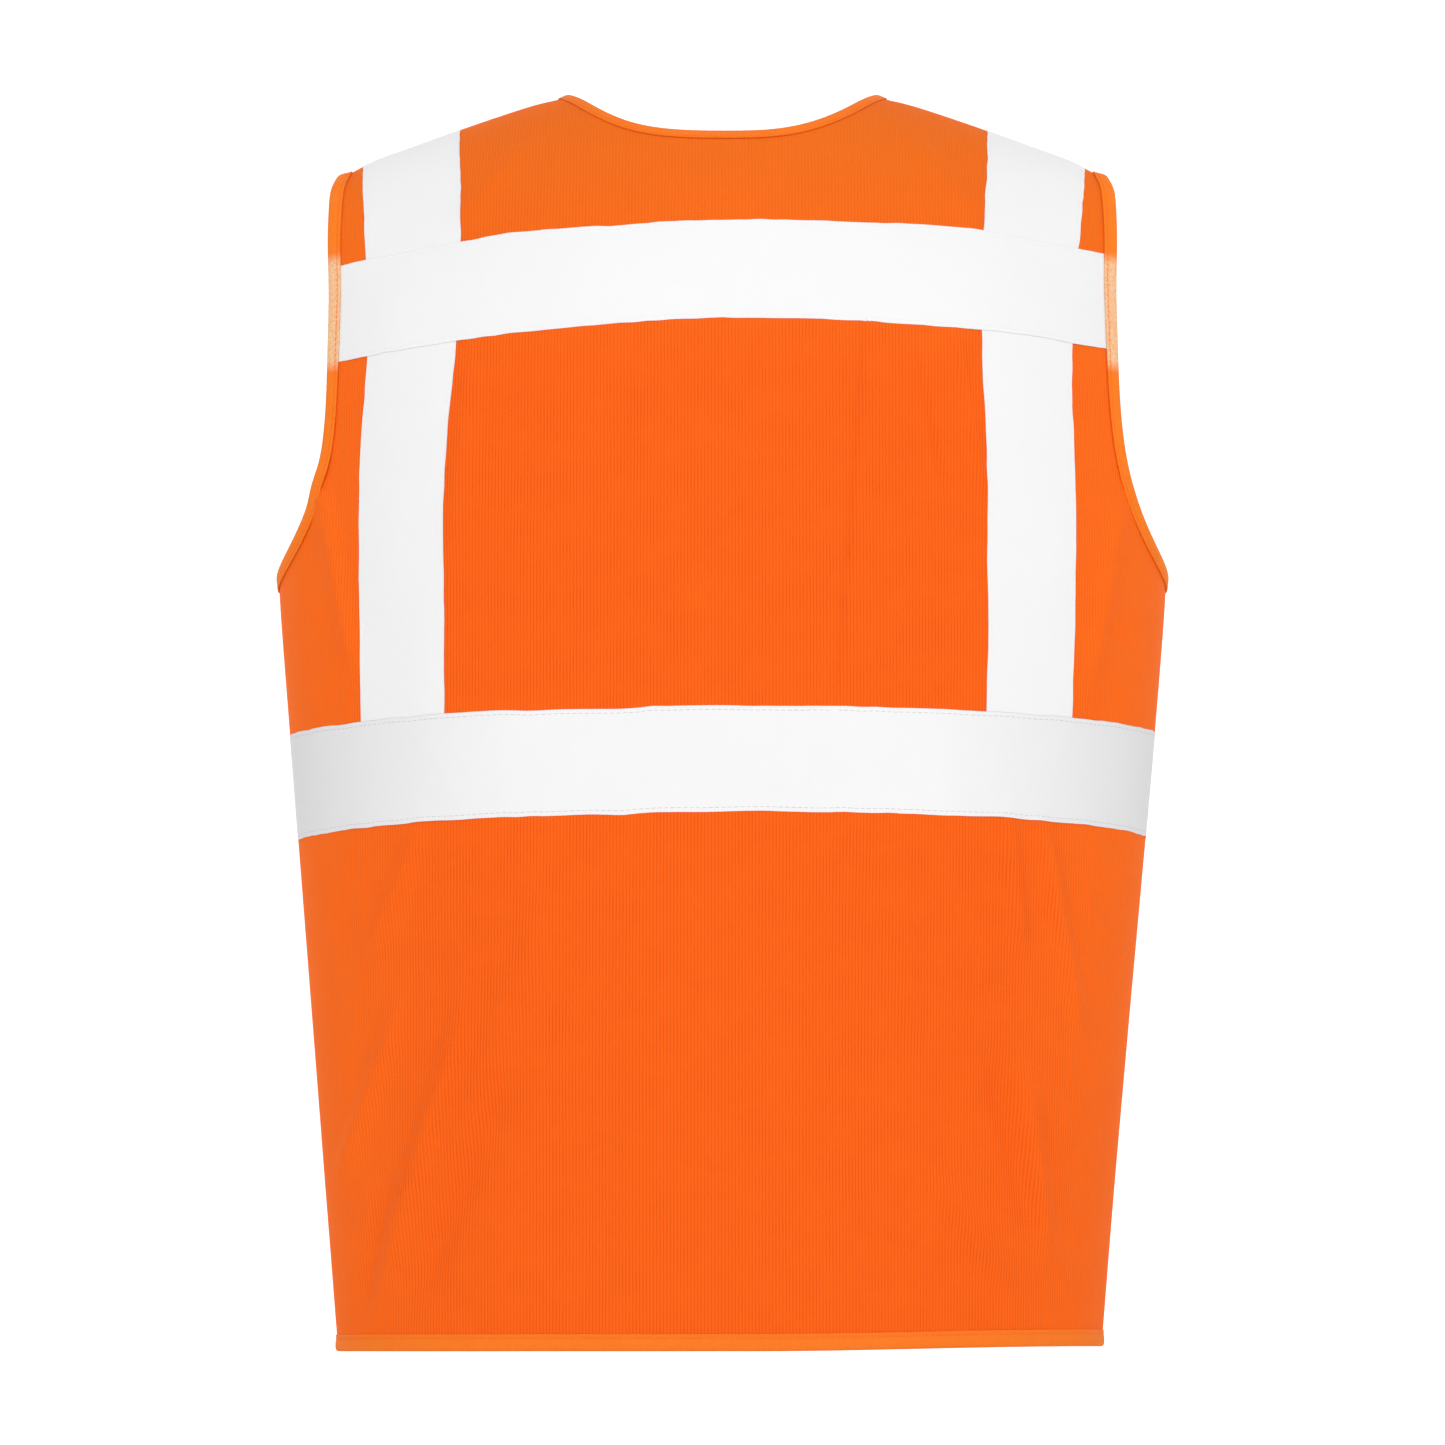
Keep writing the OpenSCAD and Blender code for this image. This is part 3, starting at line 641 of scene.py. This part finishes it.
# the number is how much painted shade a tape gets towards the sides, most on the waist tape
silver = tape_material("reflective_tape", 0.05)
waist_silver = tape_material("reflective_waist_tape", 0.63)
grey_thread = thread_material("grey_thread", (0.66, 0.66, 0.66), (0.42, 0.42, 0.43))
pale_thread = thread_material("pale_thread", (0.90, 0.90, 0.90), (0.72, 0.72, 0.73))
orange_thread = thread_material("orange_thread", (1.0, 0.24, 0.02), (0.90, 0.15, 0.008))
label_mat = plain_weave_material("label_weave", (0.92, 0.92, 0.90), (0.80, 0.80, 0.77), 0.0006)
hook_mat = plain_weave_material("hook_tape_base", (0.90, 0.13, 0.012), (0.66, 0.07, 0.006), 0.0008)
loop_mat = plain_weave_material("loop_tape_base", (0.95, 0.16, 0.016), (0.70, 0.08, 0.008), 0.0014)


def paint(obj, mat):
    obj.data.materials.clear()
    obj.data.materials.append(mat)
    return obj


def attach(obj, body):
    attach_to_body(obj, body)


def shell(name, turns, heights, d0, d1, mat, side=RIGHT, lap=0.0, across=None):
    """A piece that follows the cloth, from d0 to d1 outside its middle."""
    outer, _ = surf(turns, heights, d1, side, lap)
    inner, _ = surf(turns, heights, d0, side, lap)
    return paint(cloth_solid(name, outer, inner, flip=side == LEFT, across=across), mat)


# ---------------------------------------------------------------- the panels
def panel(name, turns, heights, side=RIGHT, lap=0.0):
    return shell(name, turns, heights, -CLOTH, CLOTH, knit, side, lap, across=girth(turns, heights))


def steps(a, b, n):
    return np.linspace(a, b, n + 1)


def arm_step(s):
    return 1 - (1 - s * s) ** FULL


UNDERARM_V = (HEM_Z - ARM_Z) / (HEM_Z - TIP_Z)
ROW_V = np.concatenate([steps(0, UNDERARM_V, 96)[:-1], mix(UNDERARM_V, 1, arm_step(steps(0, 1, 60)))])


def back_top(x):
    return np.where(np.abs(x) < NECK_W, neckline_z(x), seam_z(x)) - 0.002


neck_turn = math.degrees(math.asin(NECK_W / SHOULDER_W))
back_turns = np.concatenate([steps(-90, -neck_turn, 104)[:-1], steps(-neck_turn, neck_turn, 96)[:-1],
                             steps(neck_turn, 90, 104)])
sin_t = np.sin(np.radians(back_turns))[None, :]
back_z = HEM_Z + (back_top(SHOULDER_W * sin_t) - HEM_Z) * ROW_V[:, None]
back_turn_grid = lean(side_x(back_z) * sin_t, back_z)
back_cloth = panel("back_fabric", back_turn_grid, back_z)
attach(back_cloth, "vest_body")
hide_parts("back_panel")

front_u = steps(0, 1, 168)[None, :]
z_side = mix(HEM_Z, TIP_Z, ROW_V)[:, None]
z_neck = mix(HEM_Z, 0, ROW_V)[:, None]
tip_lean, root_lean = float(lean(SHOULDER_W, TIP_Z)), float(lean(NECK_W, 0.0))
front_top = seam_z(UNDERARM_W * np.sin(np.radians(mix(tip_lean, root_lean, front_u)))) - 0.002
front_z = mix(HEM_Z, front_top, ROW_V[:, None])
front_turn = 180 - mix(lean(side_x(z_side), z_side), lean(lapel_x(z_neck), z_neck), front_u)

joints = {j["child"]: j for j in frame["joints"]}
for body in ("right_front", "left_front"):
    j = joints[body]
    axis = Vector(j["axis"]).normalized()
    pos = Vector(j["pos_m"])
    out = Vector((pos.x * 1.45, 0.98, 0)).normalized()
    inward = axis.cross(out).normalized()
    if inward.x * pos.x > 0:
        inward = -inward


def lap_of(side):
    """How much further out the overlapping edge of a front lies."""
    return LIFT if side == LEFT else 0.0


def fold(obj, side):
    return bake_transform(obj)


def sided(side):
    return "right" if side == RIGHT else "left"


for side in (RIGHT, LEFT):
    obj = panel(sided(side) + "_front_fabric", front_turn, front_z, side, lap_of(side))
    fold(obj, side)
    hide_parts(sided(side) + "_front_panel", sided(side) + "_flap")
    sided(side) + "_shoulder_seam_allowance"


# ---------------------------------------------------------------- bindings with their stitching
def run_surface(path, d, side, lap, inset):
    """Points along a path of (turn, height), moved inset mm into the cloth."""
    turn, z = np.array(path, float).T
    p, n = half_surf(turn, z, 0, lap, side)
    run = np.gradient(p, axis=0)
    inward = np.cross(n, run)
    inward /= np.linalg.norm(inward, axis=1, keepdims=True)
    q = p + inward * inset + n * d
    flip = np.array([side, 1.0, 1.0])
    return settle(q * flip), n * flip


def dense(path, count):
    path = np.array(path, float)
    p = form(path[:, 0], path[:, 1])
    run = np.concatenate([[0], np.cumsum(np.linalg.norm(np.diff(p, axis=0), axis=1))])
    at = np.linspace(0, run[-1], count)
    # on top of the shoulder the turn jumps from back to front at one place: never stop between the two
    for i in np.nonzero(np.abs(np.diff(path[:, 0])) > 15)[0]:
        between = (at > run[i]) & (at < run[i + 1])
        at[between] = np.where(at[between] - run[i] < run[i + 1] - at[between], run[i], run[i + 1])
    return np.stack([np.interp(at, run, path[:, 0]), np.interp(at, run, path[:, 1])], 1)


def carry(obj, side, blended):
    """Fixes a piece to the vest body, or only applies its transform."""
    if blended:
        fold(obj, side)
    else:
        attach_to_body(obj, "vest_body")


def bind(name, path, side, nodes, count, lap=0.0, closed=False, mat=bound, blended=False, over=0.0,
         share=1.0):
    """A binding along a path, with a row of stitches on each face near its inner edge."""
    path = dense(path, count)
    if closed:
        path = path[:-1]
    obj = paint(sweep(name, path, binding_section(over, share), side, lap, closed, 0.035, 3.0), mat)
    rows = []
    for face, height in ((1, 1.06 + over), (-1, -1.06)):
        points, normals = run_surface(path, height, side, lap, 5.2 * share)
        rows.append(dashes("row", points, face * normals, closed, 2.9, 2.2, 0.42, 0.42))
    thread = paint(join(name + "_stitches", rows), orange_thread)
    for o in (obj, thread):
        carry(o, side, blended)
    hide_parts(*nodes)
    base = "back_fabric" if "back" in name else sided(side) + "_front_fabric"


def on_back(x, z):
    return np.stack([lean(x, z), z], -1)


def on_front(x, z):
    return np.stack([180 - lean(x, z), z], -1)


neck_xs = NECK_W * np.sin(np.radians(steps(88, -88, 60))) / math.sin(math.radians(88))
neck_path = on_back(neck_xs, neckline_z(neck_xs) - 0.002)
bind("back_neck_edge", neck_path, RIGHT, ["back_neck_binding"], 150, share=0.66)
hem_turns = steps(-90, 90, 120)
hem_path = np.stack([hem_turns, np.full_like(hem_turns, HEM_Z)], -1)
bind("back_hem_edge", hem_path, RIGHT, ["back_hem_binding"], 260)
arm_z = mix(ARM_Z, TIP_Z - 0.002, arm_step(steps(0, 1, 160)))
arm_loop = np.concatenate([on_back(armhole_x(arm_z), arm_z), on_front(armhole_x(arm_z), arm_z)[-2::-1]])
for side in (RIGHT, LEFT):
    name = sided(side)
    lap = lap_of(side)
    bind(name + "_armhole_edge", arm_loop, side, [name + "_armhole_binding"], 330, closed=True,
         mat=bound_arm, over=0.12)
    hem_front = steps(90, float(180 - lean(-OVERLAP + BIND + 0.6, HEM_Z)), 60)
    bind(name + "_hem_edge", np.stack([hem_front, np.full_like(hem_front, HEM_Z)], -1), side,
         [name + "_hem_binding", name + "_flap_hem_binding"], 170, lap=lap, blended=True)
    edge_z = np.concatenate([steps(HEM_Z, LAPEL_Z - 14, 30), steps(LAPEL_Z - 12, LAPEL_Z + 12, 6),
                             steps(LAPEL_Z + 14, -0.002, 60)])
    corner = 9.0
    bend = np.logaddexp(0, (edge_z - LAPEL_Z) / corner)
    edge_x = -OVERLAP + (NECK_W + OVERLAP) / -LAPEL_Z * corner * bend
    edge_x = np.where(edge_z > LAPEL_Z + 40, lapel_x(edge_z), edge_x)
    bind(name + "_front_edge", on_front(edge_x, edge_z), side,
         [name + "_neck_binding", name + "_front_edge_binding"], 330, lap=lap, blended=True, share=0.82)


# ---------------------------------------------------------------- reflective tapes
def wave(length, seed):
    """Small unevenness along a cut and sewn edge, in mm."""
    slow = smooth_noise(length, length * 0, 17, 50, seed)
    return 0.35 * (slow + 0.6 * smooth_noise(length, length * 0, 6, 50, seed + 1))


ACROSS = np.concatenate([[0, 0.005, 0.015], steps(0.05, 0.95, 11), [0.985, 0.995, 1]])


def sewn_sheet(name, turn, z, across, lines, mat, side, lap=0.0, extra=0):
    """The cloth of a tape over a grid, pressed in a little along its sewn lines."""
    sag = sum(0.02 * np.exp(-((across - line) / 0.025) ** 2) for line in lines)
    low = CLOTH + TAPE_GAP + extra
    return shell(name, turn, z, low, low + TAPE_T - sag, mat, side, lap)


def sewn_row(turn, z, side, lap=0.0, extra=0):
    """A row of small stitches, sunk a little into a tape."""
    p, n = surf(turn, z, CLOTH + TAPE_GAP + extra + TAPE_T - 0.03, side, lap)
    return dashes("row", p, n, False, 3.0, 2.3, 0.30, 0.15)


def finish_tape(obj, rows, nodes, side, blended, thread_mat):
    thread = paint(join(obj.name + "_stitches", rows), thread_mat)
    for o in (obj, thread):
        carry(o, side, blended)
    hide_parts(*nodes)


def tape(name, turn_at, z_at, long_n, side, nodes, lift_at, lap=0.0, blended=False, mat=silver,
         thread_mat=pale_thread):
    """A level tape given by turn and height over (along, across) in 0..1, sewn near both long edges."""
    lines = (0.04, 0.96)
    a, c = np.meshgrid(steps(0, 1, long_n), ACROSS)
    turn, z = turn_at(a, c), z_at(a, c)
    obj = sewn_sheet(name, turn, z, c, lines, mat, side, lap, lift_at(turn, z))
    rows = []
    t = steps(0, 1, max(long_n, 180) * 2)
    for line in lines:
        turn, z = turn_at(t, np.full_like(t, line)), z_at(t, np.full_like(t, line))
        rows.append(sewn_row(turn, z, side, lap, lift_at(turn, z)))
    finish_tape(obj, rows, nodes, side, blended, thread_mat)


def edge_wave(c, length, seed):
    low_edge = np.where(c < 0.5, (1 - 2 * c), 0) * wave(length, seed)
    return low_edge + np.where(c > 0.5, (2 * c - 1), 0) * wave(length, seed + 7)


UPPER_TAPE_Z = -107


def upper_mid(x):
    return UPPER_TAPE_Z - 8 * (np.abs(x) / SHOULDER_W) ** 1.3 + 0.018 * x


def brace_zone(x):
    """1 where a vertical tape lies under a horizontal one."""
    left = ease((x + 182) / 3) * ease((-120 - x) / 4)
    right = ease((182 - x) / 3) * ease((x - 116) / 4)
    return np.maximum(left, right)


def stacked(side):
    def lift_at(turn, z):
        return TAPE_LIFT * brace_zone(half_width(z) * np.sin(np.radians(turn)) * side)
    return lift_at


def upper_x(a):
    reach = armhole_x(-115.0) - 1.5
    return (2 * a - 1) * reach


def upper_z(a, c):
    x = upper_x(a)
    swell = 2.4 * np.exp(-((np.abs(x) - 105) / 38) ** 2) * c
    return upper_mid(x) + (c - 0.5) * TAPE_W + swell + edge_wave(c, x, 21)


tape("upper_back_tape", lambda a, c: lean(upper_x(a), upper_z(a, c)), upper_z, 150, RIGHT,
     ["back_upper_tape"], lift_at=stacked(RIGHT))


def droop(turn, c, side):
    """How far the waist tape hangs lower towards a side."""
    s = np.abs(np.sin(np.radians(turn)))
    s = s - 0.09 * ease((s - 0.82) / 0.18)
    left = 0.9 * ease(s / 0.3) + mix(5.0, 3.0, c) * s ** 4
    return np.where(side > 0, mix(4.4, 2.6, c) * s ** 5.5, left)


def waist_z(a, c):
    level = WAIST_TOP - TAPE_W + c * TAPE_W + edge_wave(c, a * 520, 31)
    return level - droop(mix(-90.0, 90.0, a), c, a - 0.5)


tape("waist_back_tape", lambda a, c: mix(-90.0, 90.0, a), waist_z, 180, RIGHT,
     ["back_waist_tape"], lift_at=stacked(RIGHT),
     mat=waist_silver, thread_mat=grey_thread)


def brace(side, front, track, seed):
    """A vertical tape from inside the waist tape up to the shoulder seam. track is its middle line's x."""
    face = "front" if front else "back"
    bottom = WAIST_TOP - 12

    def x_at(a, c):
        across = ((1 - c) if front else c) - 0.5
        middle = np.mean([np.interp(a + s, (0, 0.15, 0.3, 0.44, 0.63, 0.78, 1), track)
                          for s in (-0.06, -0.03, 0, 0.03, 0.06)], 0)
        return middle + across * mix(41.5, 47.0, ease(a * 1.2)) + edge_wave(c, a * 300, seed)

    def z_at(a, c):
        x = x_at(a, c)
        return mix(bottom, seam_z(x) - 0.003, 1 - (1 - a) ** 1.6)

    def turn_at(a, c):
        t = lean(x_at(a, c), z_at(a, c))
        return 180 - t if front else t

    lines = (0.035, 0.965)
    c, a = np.meshgrid(ACROSS, steps(0, 1, 96))
    name = sided(side) + "_" + face + "_upright_tape"
    obj = sewn_sheet(name, turn_at(a, c), z_at(a, c), c, lines, silver, side)
    rows = []
    t = steps(0, 1, 240)
    for line in lines:
        c = np.full_like(t, line)
        rows.append(sewn_row(turn_at(t, c), z_at(t, c), side))
    node = face + "_" + sided(side) + "_brace_tape"
    finish_tape(obj, rows, [node], side, False, pale_thread)


brace(RIGHT, False, (146, 147.5, 147, 145.2, 148.6, 152.3, 155), 41)
brace(LEFT, False, (152, 153.2, 153.7, 148.8, 149.2, 151.6, 153.5), 43)
brace(RIGHT, True, (147, 147.2, 147.5, 147.6, 148, 151, 153.5), 45)
brace(LEFT, True, (149, 149.6, 150, 150, 150, 151.5, 153.5), 47)

for side in (RIGHT, LEFT):
    name = sided(side)
    lap = lap_of(side)
    mid_z = UPPER_TAPE_Z - 4

    def chest_z(a, c):
        return mid_z + (c - 0.5) * TAPE_W + edge_wave(c, a * 150, 51 + side)

    def chest_turn(a, c):
        z = chest_z(a, c)
        return 180 - mix(lean(armhole_x(z) - 1.5, z), lean(lapel_x(z) + 1.5, z), a)

    tape(name + "_front_chest_tape", chest_turn, chest_z, 130, side,
         [name + "_chest_tape", name + "_flap_chest_tape"], lap=lap, lift_at=stacked(1), blended=True)

    def front_waist_z(a, c):
        level = WAIST_TOP - TAPE_W + c * TAPE_W + edge_wave(c, a * 260, 61 + side)
        return level - droop(90 + 80 * a, c, side)

    def front_waist_turn(a, c):
        z = front_waist_z(a, c)
        return 180 - mix(90.0, lean(-OVERLAP + 1.5, z), a)

    tape(name + "_front_waist_tape", front_waist_turn, front_waist_z, 210, side,
         [name + "_waist_tape", name + "_flap_waist_tape"], lap=lap, lift_at=stacked(1), blended=True,
         mat=waist_silver, thread_mat=grey_thread)


# ---------------------------------------------------------------- seams inside
def strip(name, turns, heights, d0, d1, side, mat, node):
    """A flat piece on the inside of the cloth, between the distances d0 and d1 from its middle."""
    obj = shell(name, turns, heights, d0, d1, mat, side)
    attach(obj, "vest_body")
    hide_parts(node)


def overlock(name, needle, looper):
    """Two threads that wind to and fro over a seam allowance."""
    threads = paint(join(name, [tube("thread", needle, 0.22), tube("thread", looper, 0.2)]), orange_thread)
    attach(threads, "vest_body")


def under_ridge(x, away):
    """Turn and height of the place at x along the shoulder, away mm behind its ridge."""
    depth = BACK_D * np.sqrt(1 - (x / UNDERARM_W) ** 2)
    drop = BACK_REACH * (1 - (1 - (away / depth) ** FULL) ** (1 / FULL))
    z = seam_z(x) - drop
    return lean(x, z), z


OVERLOCK_PITCH = 3.2
for side in (RIGHT, LEFT):
    name = sided(side)
    turns, heights = np.meshgrid(steps(87.8, 92.2, 4), steps(HEM_Z + 8.5, UNDERARM_Z - 9, 90))
    strip(name + "_side_seam_allowance", turns, heights, -CLOTH - 1.25, -CLOTH - 0.75, side, knit,
          name + "_side_seam")
    heights = np.linspace(HEM_Z + 10, UNDERARM_Z - 11, 1500)
    phase = heights * 2 * math.pi / OVERLOCK_PITCH
    needle, _ = surf(90 + 1.9 * np.sin(phase), heights, -CLOTH - 1.38 + 0.1 * np.cos(phase), side)
    looper, _ = surf(90 + 1.9 * np.cos(phase * 0.5), heights, -CLOTH - 1.42, side)
    overlock(name + "_side_overlock", needle, looper)

    # the shoulder seam allowance is pressed towards the back
    xs, away = np.meshgrid(np.linspace(NECK_W + BIND + 1.5, SHOULDER_W - BIND - 1.5, 60),
                           np.linspace(9.0, 0.6, 12))
    turns, heights = under_ridge(xs, away)
    strip(name + "_shoulder_seam_allowance", turns, heights, -CLOTH - 1.2, -CLOTH - 0.7, side, knit,
          name + "_shoulder_seam")
    xs = np.linspace(NECK_W + BIND + 2, SHOULDER_W - BIND - 2, 900)
    phase = xs * 2 * math.pi / OVERLOCK_PITCH
    turns, heights = under_ridge(xs, 6.0 + 2.4 * np.sin(phase))
    needle, _ = surf(turns, heights, -CLOTH - 1.35 + 0.1 * np.cos(phase), side)
    turns, heights = under_ridge(xs, 6.0 + 2.4 * np.cos(phase * 0.5))
    looper, _ = surf(turns, heights, -CLOTH - 1.4, side)
    overlock(name + "_shoulder_overlock", needle, looper)


# ---------------------------------------------------------------- labels, left blank
xs, zs = np.meshgrid(steps(-20, 20, 20), steps(-72, -46, 14))
strip("neck_size_label", lean(xs, zs), zs, -CLOTH - 0.75, -CLOTH - 0.4, RIGHT, label_mat, "size_label")
ends = []
for x0 in (-18.5, 18.5):
    zz = np.linspace(-71, -48, 40)
    p, n = surf(lean(np.full_like(zz, x0), zz), zz, -CLOTH - 0.82)
    ends.append(dashes("row", p, -n, False, 2.4, 1.8, 0.35, 0.3))
ends = paint(join("neck_size_label_stitches", ends), grey_thread)
attach(ends, "vest_body")
ts, zs = np.meshgrid(steps(-87.6, -72, 20), steps(-514, -470, 20))
curl = 1.6 * ease((ts + 86) / 14)
care = shell("side_care_label", ts, zs, -CLOTH - 2.05 - curl, -CLOTH - 1.75 - curl, label_mat)
attach(care, "vest_body")
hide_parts("care_label")

# ---------------------------------------------------------------- hook and loop patches
PATCH_W, PATCH_H = 16.0, 42.0
PATCHES = ((-301.5, 26.0), (-430.0, PATCH_H), (-570.0, PATCH_H))


def patch_base(name, d0, d1, mat):
    parts = []
    for z0, tall in PATCHES:
        xs, zs = np.meshgrid(steps(PATCH_W / 2, -PATCH_W / 2, 12), steps(z0 - tall / 2, z0 + tall / 2, 26))
        parts.append(shell(name + "_" + str(len(parts)), 180 - lean(xs, zs), zs, d0, d1, mat))
    return parts


def patch_pile(name, inward, start, height, pitch, radius, hooked):
    """Rows of fine hooks or loops standing on the patches."""
    verts, faces, base = [], [], 0
    for z0, tall in PATCHES:
        xs = np.arange(-PATCH_W / 2 + 1.8, PATCH_W / 2 - 1.6, pitch)
        zs = np.arange(z0 - tall / 2 + 1.8, z0 + tall / 2 - 1.6, pitch)
        gx, gz = np.meshgrid(xs, zs)
        gx = gx + np.where(np.arange(len(zs)) % 2, pitch / 2, 0)[:, None]
        gx, gz = gx.ravel(), gz.ravel()
        line = [(0, 0), (0.1, 0.55), (0.35, 0.9), (0.75, 0.95), (0.9, 0.6)] if hooked else \
            [(-0.45, 0), (-0.4, 0.6), (0, 1.0), (0.4, 0.6), (0.45, 0)]
        tilt = smooth_noise(gx * 9, gz * 9, 3, 3, 5) * (0.25 if hooked else 1.2)
        rings = []
        for along, up in line:
            shift = along * (0.75 if hooked else 0.9)
            d = start + inward * up * height
            high = gz + shift * np.sin(tilt)
            rings.append(surf(180 - lean(gx + shift * np.cos(tilt), high), high, d)[0])
        rings = np.stack(rings, 1)
        offs = np.array([[1, 0, 0.0], [0, 0.3, 1.0], [-1, 0, 0], [0, -0.3, -1.0]]) * radius
        pts = rings[:, :, None] + offs[None, None]
        m, r, k = pts.shape[:3]
        verts.append(pts.reshape(-1, 3))
        ids = np.arange(m * r * k).reshape(m, r, k) + base
        faces += ring_faces(ids[:, :-1], ids[:, 1:])
        faces += ids[:, 0, ::-1].tolist() + ids[:, -1].tolist()
        base += m * r * k
    return new_mesh(name, np.concatenate(verts), faces)


def box_stitch(name, d, side, lap, sign):
    """A row of stitches round each patch, d mm off the cloth's middle."""
    rows = []
    for z0, tall in PATCHES:
        w, h = PATCH_W / 2 - 1.1, tall / 2 - 1.1
        corners = [(-w, z0 - h), (w, z0 - h), (w, z0 + h), (-w, z0 + h), (-w, z0 - h)]
        pts = []
        for (x0, a0), (x1, a1) in zip(corners[:-1], corners[1:]):
            t = np.linspace(0, 1, 24)[:-1]
            pts.append(np.stack([mix(x0, x1, t), mix(a0, a1, t)], 1))
        pts = np.concatenate(pts)
        turns = 180 - lean(pts[:, 0] * side, pts[:, 1])
        p, n = surf(turns, pts[:, 1], d, side, lap)
        rows.append(dashes("row", p, n * sign, True, 2.7, 2.0, 0.42, 0.4))
    return paint(join(name, rows), orange_thread)


FAR = LIFT - CLOTH     # the inside of the outer front
for kind, side, d0, d1, mat, inward, start, pitch, radius in (
    ("loop", RIGHT, CLOTH + 0.05, CLOTH + 0.65, loop_mat, 1, CLOTH + 0.6, 0.85, 0.07),
    ("hook", LEFT, FAR - 0.65, FAR - 0.05, hook_mat, -1, FAR - 0.6, 1.15, 0.11),
):
    front = sided(side) + "_front"
    for o, (z0, tall) in zip(patch_base(kind + "_patch", d0, d1, mat), PATCHES):
        attach(o, front)
        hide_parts(kind + "_patches")
    pile = patch_pile(kind + "_pile", inward, start, 0.85, pitch, radius, kind == "hook")
    attach(paint(pile, orange_thread), front)
for name, d, side, lap, sign, body, slot in (
    ("loop_patch_stitches", CLOTH + 0.72, RIGHT, 0.0, 1, "right_front", "loop_tape"),
    ("loop_patch_back_stitches", -CLOTH - 0.05, RIGHT, 0.0, -1, "right_front", "loop_tape"),
    ("hook_patch_stitches", CLOTH + 0.05, LEFT, LIFT, 1, "left_front", "hook_tape"),
):
    attach(box_stitch(name, d, side, lap, sign), body)

# ---------------------------------------------------------------- stage, light and camera
scene = bpy.context.scene
scene.view_settings.view_transform = "Standard"
scene.view_settings.look = "None"


def quads(name, verts, faces):
    return new_mesh(name, np.array(verts) / MM, faces)


FLOOR_Z, FLOOR_HALF = -0.95, 7
corners = [(-FLOOR_HALF, -FLOOR_HALF, FLOOR_Z), (FLOOR_HALF, -FLOOR_HALF, FLOOR_Z),
           (FLOOR_HALF, FLOOR_HALF, FLOOR_Z), (-FLOOR_HALF, FLOOR_HALF, FLOOR_Z)]
floor = quads("studio_floor", corners, [(0, 1, 2, 3)])
curve = [(4.6, -0.945)]
for k in range(1, 13):
    curve.append((4.6 + 0.6 * math.sin(k * math.pi / 24), -0.345 - 0.6 * math.cos(k * math.pi / 24)))
curve.append((5.2, 3.6))
verts = [(x, y, z) for y, z in curve for x in (-2.4, 2.4)]
strips = [(2 * i, 2 * i + 1, 2 * i + 3, 2 * i + 2) for i in range(len(curve) - 1)]
backdrop = quads("studio_backdrop", verts, strips)
for o, glow in ((floor, 0.0), (backdrop, 0.5)):
    n = Nodes(o.name + "_paper")
    cloud = n.noise(n.place()[0], 2.0)
    paint(o, n.finish({"Base Color": n.colour(cloud, (0.92, 0.92, 0.92), (0.94, 0.94, 0.94)),
                       "Roughness": 0.9, "Specular IOR Level": 0.1,
                       "Emission Color": (1.0, 1.0, 1.0, 1.0), "Emission Strength": glow}))

world = bpy.data.worlds.new("studio")
scene.world = world
world.use_nodes = True
world.node_tree.nodes["Background"].inputs[0].default_value = (1.0, 1.0, 1.0, 1.0)
world.node_tree.nodes["Background"].inputs[1].default_value = 0.55


MIDDLE = Vector((0, 0, -0.31))


def area(name, location, size, power):
    """A soft square light that looks at the middle of the vest."""
    light = bpy.data.lights.new(name, "AREA")
    light.energy = power
    light.size = size
    obj = bpy.data.objects.new(name, light)
    obj.location = location
    obj.rotation_euler = (MIDDLE - Vector(location)).to_track_quat("-Z", "Y").to_euler()
    scene.collection.objects.link(obj)


area("key", (-0.9, -2.6, 1.1), 1.8, 14)
area("fill", (1.3, -2.4, 0.5), 1.6, 12)
area("front", (0.15, -2.9, 0.1), 1.6, 9)
area("top", (0.1, -1.0, 2.3), 1.8, 13)
area("rear_left", (-1.6, 2.1, 0.9), 1.5, 14)
area("rear_right", (1.6, 2.1, 0.9), 1.5, 14)
area("side_left", (-2.5, -0.5, -0.2), 1.5, 5.5)
area("side_right", (2.5, -0.5, -0.2), 1.5, 4.5)

camera = bpy.data.cameras.new("camera")
camera.lens = 143.0
camera.sensor_width = 36.0
camera.clip_end = 60
eye = bpy.data.objects.new("camera", camera)
eye.location = (0.0, -2.8, -0.618)
eye.rotation_euler = (math.radians(90 + 6.23), 0, 0)
scene.collection.objects.link(eye)
scene.camera = eye
